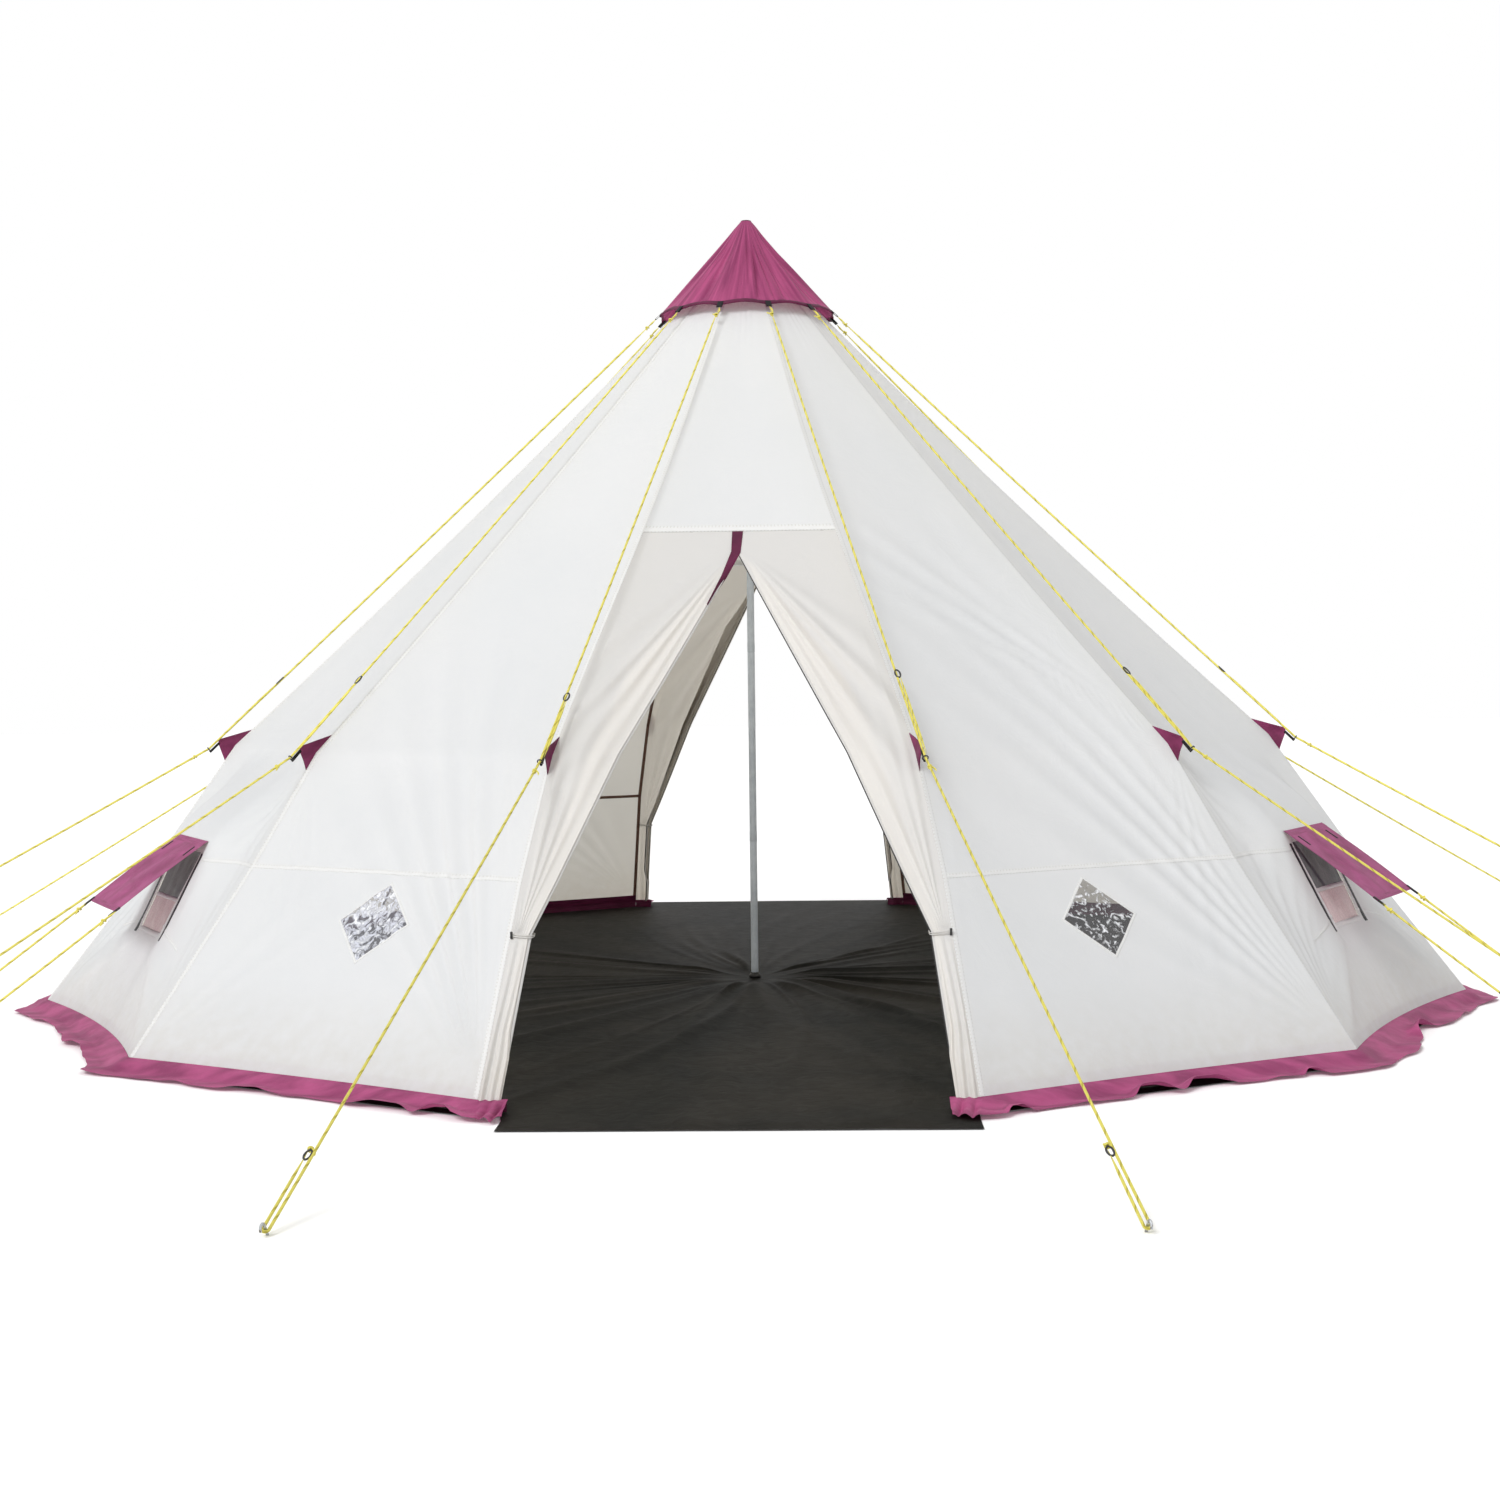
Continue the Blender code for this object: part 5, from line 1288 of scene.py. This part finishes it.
def skirt_point(face, across, share):
    """A point of a skirt: share runs from the hem out over the ground. It drops from the hem along a
    squared cosine. Waves that grow outwards lift it and move its edge in and out, and it is bunched
    into short folds within a hand's width of its two ends, which turn in under the doorway's corners.
    Where its edge has sprung up, it rises with its share and draws in a little."""
    across, share = np.broadcast_arrays(across, share)
    hem = wall_point(face, across, HEM_HEIGHT, 0.0012)
    s = across * HEM_HALF
    degrees = math.degrees(face)
    at_door = abs(degrees) < 1 or abs(degrees) > 179
    if at_door:
        to_end = (np.abs(across) - DOOR_TURN) * HEM_HALF
    else:
        to_end = HEM_HALF * (1 - across * np.sign(degrees) * (1 if abs(degrees) > 120 else -1)) + 0.1
    bunched = np.exp(-(to_end / 0.11) ** 2) if abs(abs(degrees) - 90) > 50 else 0 * s
    wave = np.sin(9 * s + 0.09 * degrees) + 0.35 * np.sin(21 * s + 1.7 + 0.05 * degrees)
    crush = np.sin(31 * s + 3 * share + degrees) * np.sin(19 * s - 4 * share)
    side_swell = 1 + 0.5 * math.exp(-((abs(degrees) - 60) / 25) ** 2)
    turn = abs(degrees) + across * np.sign(degrees) * 15
    wide = SKIRT_WIDTH * (1 + 0.5 * bunched + 0.22 * np.exp(-((turn - 50) / 14) ** 2))
    out = wide * share * (1 + 0.09 * wave * share * side_swell * (1 - bunched)) + 0.003 * crush * share
    rise = 0.0045 + (HEM_HEIGHT - 0.0065) * np.cos(np.clip(share / 0.62, 0, 1) * math.pi / 2) ** 2
    lifted = np.clip(np.sin(17 * s + 2.1 + 0.21 * degrees), 0, 1) ** 2 * 0.007 * side_swell
    waves = 0.0085 * (1 + wave / 1.6) / 2 + lifted * share + 0.003 * np.abs(crush)
    rise = rise + share * waves * (1 - 0.4 * share ** 3)
    pinch = np.abs(np.sin(85 * s + 2 * share)) * bunched
    rise = rise + 0.02 * pinch * np.sin(math.pi * np.clip(share * 0.8, 0, 1))
    out = out * (1 - 0.25 * bunched * np.abs(np.sin(40 * s + 1)))
    sprung = sum((high * np.exp(-((across - middle) / half) ** 4) for at, middle, half, high in SPRUNG
                  if abs(at - degrees) < 1), 0 * s)
    loose = np.sin(np.clip((share - 0.15) / 0.85, 0, 1) * math.pi / 2) ** 2
    out = out * (1 - 0.25 * sprung * loose)
    rise = rise + SPRUNG_HEIGHT * sprung * loose
    point = hem + outward_of(face) * out[..., None]
    point[..., 2] = np.where(share < 0.001, HEM_HEIGHT + 0.001, np.maximum(rise, 0.0015))
    return point


for side, word in SIDES:
    faces = sorted(side * number * 2 * HALF_FACE for number in range(7))
    columns = []
    for number, face in enumerate(faces):
        spans = (DOOR_TURN, 1.0) if number == 0 else (-1.0, -DOOR_TURN) if number == 6 else (-1.0, 1.0)
        columns.append(skirt_point(face, np.linspace(*spans, 30 if number in (0, 6) else 141)[None, :],
                                   np.linspace(0, 1, 26)[:, None]))
    for before, after in zip(columns, columns[1:]):
        joint = (before[:, -1] + after[:, 0]) / 2
        before[:, -1] = joint
        after[:, 0] = joint
    points = np.concatenate([columns[0]] + [c[:, 1:] for c in columns[1:]], 1)
    skirt = grid_piece(f"mud_skirt_{word}", [points], plum, flat_lengths, turned=True)
    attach(skirt, "tent")
    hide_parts(f"skirt_{word}")

# Inside, a narrow plum flap covers the hem and hangs down to the groundsheet.
FLAP_DROP = 0.035
turned_up = []
for number in WALL_NUMBERS:
    across = np.linspace(-0.999, 0.999, 60)[:, None]
    up = np.array([-FLAP_DROP, -0.018, 0.0, 0.027, 0.028]) + HEM_HEIGHT
    ripple = 0.003 * np.sin(29 * across + number) * np.sin(13 * across)
    ripple = ripple * np.clip(HEM_HEIGHT - up, 0, 1) / FLAP_DROP
    inset = np.array([3, 2, 1.6, 1.6, 0.4]) / 1000
    turned_up.append(wall_point(number * 2 * HALF_FACE, across, up, ripple - inset))
# At each doorway's corners the flap goes on under the foot of the tied-back door.
for face in (0.0, math.pi):
    for end in (-1, 1):
        across = np.sort(end * np.linspace(0.885, 0.999, 14))[:, None]
        up = np.linspace(-0.036, 0.001, 5) + HEM_HEIGHT
        ripple = 0.004 * np.sin(90 * across) * np.clip(HEM_HEIGHT - up, 0, 1) / FLAP_DROP
        turned_up.append(wall_point(face, across, up, ripple - 0.004))
# The flap is drawn in the darker plum: painted shade inside the tent.
hem_binding = grid_piece("inside_hem_binding", turned_up, plum_shaded, band_flat)
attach(hem_binding, "tent")


# Rain cap: twelve plum gores sewn into a shallow cone, bound at its rim and kept clear of the canopy
# by the crown. A webbing tab at each seam takes a guy rope.

CAP_RADIUS = 0.357
CAP_STANDOFF = 0.054
CAP_TOP = 3.06
CAP_TOP_RADIUS = 0.02
SCALLOP = 0.011
heights_of_seam = np.linspace(PULL_HEIGHT, PEAK_HEIGHT, 4000)
cap_rim_height = float(np.interp(-CAP_RADIUS, -seam_radius(heights_of_seam), heights_of_seam)) + CAP_STANDOFF


def cap_point(turn, share, lift=0.0):
    """A point of the cap: a cone from its small flat top out to the rim, which lifts between the tabs as a
    squared sine, with creases that run down from the peak and deepen on the way."""
    turn, share, lift = np.broadcast_arrays(turn, share, lift)
    part = np.abs(np.sin((turn - HALF_FACE) * SEAMS / 2))
    radius = CAP_TOP_RADIUS + (CAP_RADIUS - CAP_TOP_RADIUS) * share * (1 - 0.035 * part ** 2 * share)
    height = CAP_TOP + (cap_rim_height - CAP_TOP) * share + SCALLOP * part ** 1.5 * share ** 4
    sag = 0.01 * np.sin(math.pi * share) * part
    crease = (creases(turn, radius * 3, 5, 30, 0.006, 0.12, 1.35)
              + creases(turn, radius * 3, 12, 22, 0.016, 0.16, 1.6, (0.05, 1.25), 1)
              + creases(turn, radius * 3, 8, 40, 0.01, 0.16, 1.5, (1.3, 6.0), 1))
    crease = -crease * np.clip((1 - share) / 0.1, 0, 1)
    height = height - sag + crease + lift
    return np.stack([radius * np.sin(turn), -radius * np.cos(turn), height], -1)


def cap_flat(share, rim_length, gore_length):
    """Metres along the rim, and metres out from the peak along a gore."""
    along, out_by = np.broadcast_arrays(np.linspace(0, rim_length, CAP_STEPS + 1), share * gore_length)
    return np.stack([along, out_by], -1)


CAP_STEPS = 720
turn = np.linspace(0, 2 * math.pi, CAP_STEPS + 1)[None, :-1]
share = np.linspace(0, 1, 60)[::-1, None]
# The cap takes a slightly lighter copy of the plum, painted light, and its streaks of painted light and shade
# run down its creases.
cap_cloth = plum_material("plum_cap_gores", "#b85283", "#8f3865", (30.0, 2.4), 0.3)
cap = grid_piece("rain_cap_cloth", [cap_point(turn, share)], cap_cloth,
                 lambda grid: cap_flat(share, 2 * math.pi * CAP_RADIUS, 0.47), wraps=True)
rim = np.array([0.972, 0.975, 1.0, 1.004, 1.0])[:, None]
rim_lift = np.array([0.0003, 0.0012, 0.0012, -0.002, -0.0065])[:, None]
rim_binding = grid_piece("rain_cap_binding", [cap_point(turn, rim, rim_lift)[::-1]], plum_shaded,
                         lambda grid: cap_flat(rim, 2.24, 0.0), wraps=True)
top_profile = [(0.0215, CAP_TOP - 0.0025), (0.0212, CAP_TOP + 0.0004), (0.018, CAP_TOP + 0.0022),
               (0.01, CAP_TOP + 0.003), (0.0, CAP_TOP + 0.0032)]
cap_button = grid_piece("rain_cap_top_patch", [turned_grid(top_profile, 48)], plum_shaded, wraps=True)
for piece in (cap, rim_binding, cap_button):
    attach(piece, "tent")
    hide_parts("rain_cap")


# Pull-outs: at the shoulder of every seam a plum triangle of doubled cloth is sewn in, with a short
# black webbing loop that holds a small ring for the guy rope.

RING_REACH = 0.1
RING_DROP = 0.013
TAB_LENGTH = 0.026
RING_RADIUS = 0.009
RING_WIRE = 0.002
ROPE_RADIUS = 0.0039
TRIANGLE_TIP = (0.063, 0.014)
TRIANGLE_HALF = 0.0585
STRAP_LENGTH = 0.046
STRAP_HALF_GAP = 0.0033
PEG_CIRCLE = 3.9
FOOT_HEIGHT = 0.014


def unit(way):
    """The direction over its own length."""
    return way / np.linalg.norm(way)


# A rope's bend at its ring and its end at the cap, as (distance from the pole, height).
kink = np.array([PULL_RADIUS + RING_REACH, PULL_HEIGHT - RING_DROP])
rim_place = np.array([CAP_RADIUS, cap_rim_height])
tab_end = rim_place + unit(kink - rim_place) * TAB_LENGTH
to_cap = unit(tab_end - kink)
to_peg = unit(np.array([PEG_CIRCLE, FOOT_HEIGHT]) - kink)
pull = unit(to_cap + to_peg)
ring_hang = RING_RADIUS - RING_WIRE - ROPE_RADIUS - 0.0003


def seam_frame(angle, out, up, aside):
    """Points at a pull-out: out and up in its seam's upright plane, aside level along the wall."""
    base = seam_point(angle, PULL_HEIGHT)
    out, up, aside = np.broadcast_arrays(out, up, aside)
    return base + out[..., None] * outward_of(angle) + up[..., None] * UP + aside[..., None] * along_of(angle)


def ring_points(centre, ways, radius, wire, steps=28, round_steps=10):
    """A ring of round wire: one turn in the plane of the first two ways, a small circle about each point."""
    first, second, axis = ways
    a = (np.arange(steps) * 2 * math.pi / steps)[:, None]
    b = (np.arange(round_steps) * 2 * math.pi / round_steps)[None, :]
    spoke = np.cos(a)[..., None] * first + np.sin(a)[..., None] * second
    return centre + spoke * (radius + wire * np.cos(b))[..., None] + axis * (wire * np.sin(b))[..., None]


def close_loop(points):
    """The grid with its first row repeated at its end."""
    return np.concatenate([points, points[:1]])


triangles, straps, rings = [], [], []
half_turn = np.linspace(-math.pi / 2, math.pi / 2, 9)
for number, seam in enumerate(SEAM_ANGLES):
    s = np.linspace(0, 1, 24)[:, None]
    t = np.linspace(-1, 1, 25)[None, :]
    lean = float(seam_radius(PULL_HEIGHT + TRIANGLE_HALF) - PULL_RADIUS)
    under = float(seam_radius(PULL_HEIGHT - TRIANGLE_HALF) - PULL_RADIUS)
    root = np.where(t > 0, lean, under) * np.abs(t)
    out_place = root + (TRIANGLE_TIP[0] - root) * s
    high = TRIANGLE_HALF * t * (1 - s) + TRIANGLE_TIP[1] * s + 0.009 * t * s
    bend = 0.004 * np.sin(math.pi * s) * np.sin(2.2 * t + number)
    for skin in (1, -1):
        grid = seam_frame(seam, out_place, high, bend + skin * 0.0011)
        triangles.append(grid if skin > 0 else grid[:, ::-1])
    centre = seam_frame(seam, kink[0] - PULL_RADIUS - pull[0] * ring_hang,
                        kink[1] - PULL_HEIGHT - pull[1] * ring_hang, 0.0)
    pull_way = pull[0] * outward_of(seam) + pull[1] * UP
    axis = pull[1] * outward_of(seam) - pull[0] * UP
    rings.append(close_loop(ring_points(centre, (pull_way, along_of(seam), axis), RING_RADIUS, RING_WIRE)))
    # The webbing folds round the ring's lower side and runs back into the triangle on both faces.
    foot = centre - pull_way * RING_RADIUS
    back = unit(seam_frame(seam, 0.05, 0.019, 0.0) - foot)
    run = np.linspace(STRAP_LENGTH, 0.0, 7)
    length_way = np.concatenate([run, -STRAP_HALF_GAP * np.cos(half_turn), run[::-1]])
    gap = np.concatenate([np.full(7, -STRAP_HALF_GAP), STRAP_HALF_GAP * np.sin(half_turn),
                          np.full(7, STRAP_HALF_GAP)])
    gap = gap * np.interp(length_way, (0, STRAP_LENGTH), (1, 0.6))
    line = foot + back * length_way[:, None] + along_of(seam) * gap[:, None]
    wide = np.linspace(-0.0045, 0.0045, 5)[None, :, None]
    straps.append(line[:, None] + np.cross(back, along_of(seam)) * wide)
# The triangles take a darker copy of the plum: painted shade.
triangle_cloth = plum_material("plum_pull_out_cloth", "#8a3460", "#6a2247")
pull_triangles = grid_piece("pull_out_triangles", triangles, triangle_cloth, flat_lengths)
pull_straps = grid_piece("pull_out_webbings", straps, webbing, flat_lengths)
pull_rings = grid_piece("pull_out_rings", rings, plastic, wraps=True)
for piece, finish in ((pull_triangles, "plum_canvas"), (pull_straps, "black_plastic"),
                      (pull_rings, "black_plastic")):
    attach(piece, "tent")
thicken_webbing(pull_straps)


# Cap tabs: a short fold of black webbing sewn under the cap's rim at each seam.

TAB_FOLD = 0.0195
TAB_HALF_GAP = 0.0022
tabs = []
way = unit(tab_end - rim_place)
run = np.linspace(-0.014, TAB_FOLD, 8)
length_way = np.concatenate([run, TAB_FOLD + TAB_HALF_GAP * np.cos(half_turn)[1:-1], run[::-1]])
gap = np.concatenate([np.full(8, -TAB_HALF_GAP), TAB_HALF_GAP * np.sin(half_turn)[1:-1],
                      np.full(8, TAB_HALF_GAP)]) + 0.0004
for seam in SEAM_ANGLES:
    line = outward_of(seam) * way[0] + UP * way[1]
    proud = outward_of(seam) * -way[1] + UP * way[0]
    start = on_circle(seam, *(rim_place + way * 0.003))
    wide = np.linspace(-0.011, 0.011, 5)[None, :, None]
    middle = start + line * length_way[:, None] + proud * gap[:, None]
    tabs.append(middle[:, None] + along_of(seam) * wide)
cap_tabs = grid_piece("cap_tabs", tabs, webbing, flat_lengths)
thicken_webbing(cap_tabs)
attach(cap_tabs, "tent")


# Guy ropes: twelve braided yellow cords with a dark tracer thread, each from a cap tab through its ring
# to a peg. A runner above the ring and one near the peg tighten them, with a doubled run between.

DOOR_PEG_CIRCLE = 4.08
DOOR_PEG_SIDE = 0.98
PEG_RADIUS = 0.0035
RETURN_LENGTH = 0.27


def straight(start, end, spacing=0.12, sag=0.0):
    """Points from start to end that hang below the line by sag at the middle."""
    count = max(3, int(np.linalg.norm(end - start) / spacing) + 1)
    share = np.linspace(0, 1, count)[:, None]
    return start + (end - start) * share - UP * sag * 4 * share * (1 - share)


# Braided polyester cord: yellow, with a dark tracer that shows as short slanting flecks.
rope_yarn, tree, out = new_material("yellow_braided_cord")
flat = add_node(tree, "UVMap", uv_map="flat")
split = add_node(tree, "SeparateXYZ", {"Vector": flat})
# The tracer comes round every 15 mm; it is drawn every 60 mm so that the flecks show from 8 m away.
spiral = add_node(tree, "Math", {0: split.outputs["X"], 1: 16.6, 2: split.outputs["Y"]},
                  operation="MULTIPLY_ADD")
spiral = add_node(tree, "Math", {0: spiral}, operation="FRACT")
fleck = add_node(tree, "Math", {0: spiral, 1: 0.2}, operation="LESS_THAN")
plaits = add_node(tree, "TexWave", {"Vector": flat, "Scale": 40.0, "Distortion": 1.0},
                  bands_direction="DIAGONAL")
fuzz = add_node(tree, "TexNoise", {"Vector": flat, "Scale": 60.0, "Detail": 3.0})
yellow = add_node(tree, "Mix", {"Factor": fuzz, "A": srgb("#dfd34a"), "B": srgb("#f5ea7c")}, data_type="RGBA")
tone = add_node(tree, "Mix", {"Factor": fleck, "A": yellow, "B": srgb("#c3b544")}, data_type="RGBA")
plaited = add_node(tree, "Bump", {"Height": plaits.outputs["Fac"], "Strength": 0.6, "Distance": 0.001})
yarn = add_node(tree, "BsdfPrincipled", {"Base Color": tone, "Roughness": 0.62, "Normal": plaited})
tree.links.new(yarn.outputs[0], out.inputs[0])


def peg_loop(start, foot, back_length, spread):
    """The run to a peg, half round it, and back beside itself to a runner."""
    way = unit(start - foot)
    aside = unit(np.cross(way, UP))
    wide = PEG_RADIUS + ROPE_RADIUS + 0.0006
    turn = np.linspace(0, math.pi, 9)[:, None]
    loop = foot + (aside * np.cos(turn) - way * np.sin(turn)) * wide
    end = foot + way * back_length - aside * spread
    return way, aside, loop, end


def knot_points(centre, way, aside, size):
    """A small overhand knot: a cord that winds round the rope one and a half times and moves along it."""
    up = np.cross(way, aside)
    turn = np.linspace(0, 3 * math.pi, 22)[:, None]
    wind = (aside * np.cos(turn) + up * np.sin(turn)) * (size * 1.1)
    return centre + wind + way * (turn / (3 * math.pi) - 0.5) * size * 3.4


def knot_tail(centre, way, aside):
    """The cut end that sticks out of a knot: a short bent line back along the rope and aside."""
    share = np.linspace(0, 1, 6)[:, None]
    bent = aside * (0.9 - 0.3 * share) - way * 0.6 * share
    return centre + 0.03 * share * bent - UP * 0.006 * share ** 2


def runner_points(centre, way, aside):
    """A flat runner with round ends, threaded on the rope: an oval carried round, 4 mm thick."""
    up = np.cross(way, aside)
    a = np.linspace(0, 2 * math.pi, 25)[:-1, None]
    b = np.linspace(0, 2 * math.pi, 11)[None, :-1]
    oval = way * (0.017 * np.cos(a))[..., None] + aside * (0.0085 * np.sin(a))[..., None]
    spoke = oval / np.linalg.norm(oval, axis=-1, keepdims=True)
    return centre + oval + spoke * (0.0032 * np.cos(b))[..., None] + up * (0.0026 * np.sin(b))[..., None]


runner_grids, knot_grids = [], []
for number, seam in enumerate(SEAM_ANGLES):
    tab = on_circle(seam, *tab_end)
    ring = seam_frame(seam, RING_REACH, -RING_DROP, 0.0)
    if bow_way(seam):
        lean = math.asin(DOOR_PEG_SIDE / DOOR_PEG_CIRCLE)
        lean = lean if abs(seam) < math.pi / 2 else math.pi - lean
        foot = on_circle(math.copysign(lean, seam), DOOR_PEG_CIRCLE, FOOT_HEIGHT)
    else:
        foot = on_circle(seam, PEG_CIRCLE, FOOT_HEIGHT)
    upper = unit(ring - tab)
    way, aside, loop, end = peg_loop(ring, foot, RETURN_LENGTH, 0.008)
    # Main run, which starts as a loop through the tab and turns over the ring.
    bend = [ring - upper * 0.004 + pull[1] * UP * -0.0002, ring, ring - way * 0.004]
    main = np.concatenate([straight(tab + upper * 0.002, ring - upper * 0.01, 0.15, 0.006), bend,
                           straight(ring - way * 0.01, loop[0] + way * 0.02, 0.15, 0.005), loop,
                           straight(loop[-1] + way * 0.02, end, 0.08)])
    # The front left rope's upper runner stands nearer to its ring than the others do.
    set_back = 0.285 if abs(math.degrees(seam) + 15) < 1 else 0.375
    second = straight(ring - upper * (set_back - 0.005) + aside * 0.0084,
                      ring - upper * 0.012 + aside * 0.008, 0.06)
    eye = [tab - upper * 0.004, tab + upper * 0.02 + along_of(seam) * 0.007,
           tab + upper * 0.055 + along_of(seam) * 0.0065]
    grids = [tube_points(main, ROPE_RADIUS), tube_points(second, ROPE_RADIUS * 0.95),
             tube_points(np.array(eye), ROPE_RADIUS * 0.95)]
    rope = grid_piece(f"guy_cord_{number + 1:02d}", grids, rope_yarn, tube_flat, wraps=True)
    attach(rope, "tent")
    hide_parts(f"guy_rope_{number + 1:02d}")
    near_ring = ring - upper * set_back + aside * 0.004
    near_peg = foot + way * (RETURN_LENGTH - 0.01) - aside * 0.004
    runner_grids += [close_loop(runner_points(near_ring, upper, unit(np.cross(upper, UP)))),
                     close_loop(runner_points(near_peg, way, aside))]
    for centre, line in ((ring + unit(foot - ring) * 0.06, way), (tab + upper * 0.048, upper),
                         (foot + way * (RETURN_LENGTH + 0.012) - aside * 0.006, way)):
        cross = unit(np.cross(line, UP))
        knot_grids.append(tube_points(knot_points(centre, line, cross, 0.0045), 0.003))
        knot_grids.append(tube_points(knot_tail(centre, line, cross), 0.0026))
runners = grid_piece("rope_runners", runner_grids, plastic, wraps=True)
knots = grid_piece("rope_knots", knot_grids, rope_yarn, tube_flat, wraps=True)
for piece, finish in ((runners, "black_plastic"), (knots, "yellow_rope")):
    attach(piece, "tent")


# Awning ropes: the same yellow cord from each outer corner of an awning to its own small peg.

AWNING_PEG_AWAY = 0.62
AWNING_PEG_LEAN = math.radians(30)
HOOK_RADIUS = 0.011
peg_grids = []
for side, word in SIDES:
    down, normal, along = awning_ways(side)
    for end, title in ((-side, "front"), (side, "rear")):
        start = (AWNING_TOP[side] + down * (AWNING_LENGTH + 0.0006) + normal * 0.002
                 + along * end * (AWNING_WIDTH / 2 - 0.006))
        foot = start + outward_of(side * VENT_FACE) * AWNING_PEG_AWAY
        foot[2] = FOOT_HEIGHT
        way, aside, loop, back = peg_loop(start, foot, RETURN_LENGTH, 0.008)
        main = np.concatenate([straight(start + way * -0.004, loop[0] + way * 0.02, 0.03, 0.002), loop,
                               straight(loop[-1] + way * 0.02, back, 0.03)])
        eye = straight(start + way * 0.006 + aside * 0.004, start - way * 0.05 + aside * 0.005, 0.02)
        grids = [tube_points(main, ROPE_RADIUS), tube_points(eye, ROPE_RADIUS),
                 tube_points(knot_points(start - way * 0.05, way, aside, 0.0052), 0.0034),
                 tube_points(knot_tail(start - way * 0.052, way, aside), 0.003)]
        cord = grid_piece(f"awning_cord_{word}_{title}", grids, rope_yarn, tube_flat, wraps=True)
        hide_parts(f"awning_rope_{word}_{title}")
        near_peg = foot + way * (RETURN_LENGTH - 0.01) - aside * 0.004
        oval = close_loop(runner_points(near_peg, way, aside))
        runner = grid_piece(f"awning_runner_{word}_{title}", [oval], plastic, wraps=True)
        for piece in (cord, runner):
            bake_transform(piece)
        away = unit(np.array([foot[0] - start[0], foot[1] - start[1], 0.0]))
        shank = UP * math.cos(AWNING_PEG_LEAN) + away * math.sin(AWNING_PEG_LEAN)
        square = away * math.cos(AWNING_PEG_LEAN) - UP * math.sin(AWNING_PEG_LEAN)
        bend = foot + shank * 0.013 + square * HOOK_RADIUS
        turn = np.linspace(0, math.pi, 12)[:, None]
        hook = bend + (shank * np.sin(turn) - square * np.cos(turn)) * HOOK_RADIUS
        wire_line = np.concatenate([straight(foot - shank * 0.15, hook[0], 0.03)[:-1], hook])
        peg_grids.append(tube_points(wire_line, 0.0032, 10))


# Pegs: bent steel wire with a hooked head, pushed into the ground at the foot of every rope. The
# awnings' own four are a little thinner than the twelve of the guy ropes.

# Zinc-plated wire is pale grey, with a dull bloom and brown specks where earth has stuck to it.
peg_wire, tree, out = new_material("zinc_plated_peg_wire")
place = add_node(tree, "TexCoord").outputs["Object"]
specks = add_node(tree, "TexNoise", {"Vector": place, "Scale": 160.0, "Detail": 5.0})
soiled = add_node(tree, "MapRange", {"Value": specks, "From Min": 0.52, "From Max": 0.66})
tone = add_node(tree, "Mix", {"Factor": soiled, "A": srgb("#b9bcbf"), "B": srgb("#6d6257")}, data_type="RGBA")
gloss = add_node(tree, "MapRange", {"Value": soiled, "To Min": 0.34, "To Max": 0.75})
pitted = add_node(tree, "Bump", {"Height": specks, "Strength": 0.2, "Distance": 0.0004})
wire = add_node(tree, "BsdfPrincipled", {
    "Base Color": tone, "Metallic": 0.8, "Roughness": gloss, "Normal": pitted})
tree.links.new(wire.outputs[0], out.inputs[0])
awning_pegs = grid_piece("awning_pegs", peg_grids, peg_wire, wraps=True)
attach(awning_pegs, "tent")
for number in range(SEAMS):
    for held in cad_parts[f"peg_{number + 1:02d}"].material_slots:
        held.material = peg_wire


# Studio: a white floor and white surroundings under even daylight, as in the cut-out photograph.

floor_paint, tree, out = new_material("studio_white")
paint = add_node(tree, "BsdfPrincipled", {"Base Color": srgb("#fbfbfb"), "Roughness": 0.9})
# The camera sees the floor a little brighter, so that it meets the white surroundings without a line.
lift = add_node(tree, "Emission", {"Strength": 0.05})
looked_at = add_node(tree, "LightPath").outputs["Is Camera Ray"]
unlit = add_node(tree, "Emission", {"Strength": 0.0})
lift = add_node(tree, "MixShader", {0: looked_at, 1: unlit, 2: lift})
paint = add_node(tree, "AddShader", {0: paint, 1: lift})
tree.links.new(paint.outputs[0], out.inputs[0])
mesh = bpy.data.meshes.new("studio_floor")
mesh.from_pydata([(-40, -40, -0.001), (40, -40, -0.001), (40, 40, -0.001), (-40, 40, -0.001)], [],
                 [(0, 1, 2, 3)])
mesh.materials.append(floor_paint)
studio_floor = bpy.data.objects.new("studio_floor", mesh)
bpy.context.scene.collection.objects.link(studio_floor)

sky = bpy.data.worlds.new("studio_sky")
sky.use_nodes = True
sky.node_tree.nodes.clear()
bpy.context.scene.world = sky
path = add_node(sky.node_tree, "LightPath")
seen = add_node(sky.node_tree, "Math", {0: path.outputs["Is Camera Ray"], 1: path.outputs["Is Glossy Ray"]},
                operation="MAXIMUM")
seen = add_node(sky.node_tree, "Math", {0: seen, 1: path.outputs["Is Transmission Ray"]}, operation="MAXIMUM")
lighting = add_node(sky.node_tree, "Background", {"Color": srgb("#ffffff"), "Strength": 0.7})
shown = add_node(sky.node_tree, "Background", {"Color": srgb("#ffffff"), "Strength": 1.0})
mixed = add_node(sky.node_tree, "MixShader", {0: seen, 1: lighting, 2: shown})
add_node(sky.node_tree, "OutputWorld", {"Surface": mixed})

daylight = bpy.data.lights.new("daylight", "SUN")
daylight.energy = 2.0
daylight.angle = math.radians(25)
sun = bpy.data.objects.new("daylight", daylight)
sun.matrix_world = Matrix.Rotation(math.radians(-34), 4, "Z") @ Matrix.Rotation(math.radians(48), 4, "X")
bpy.context.scene.collection.objects.link(sun)

bpy.context.scene.view_settings.view_transform = "Standard"
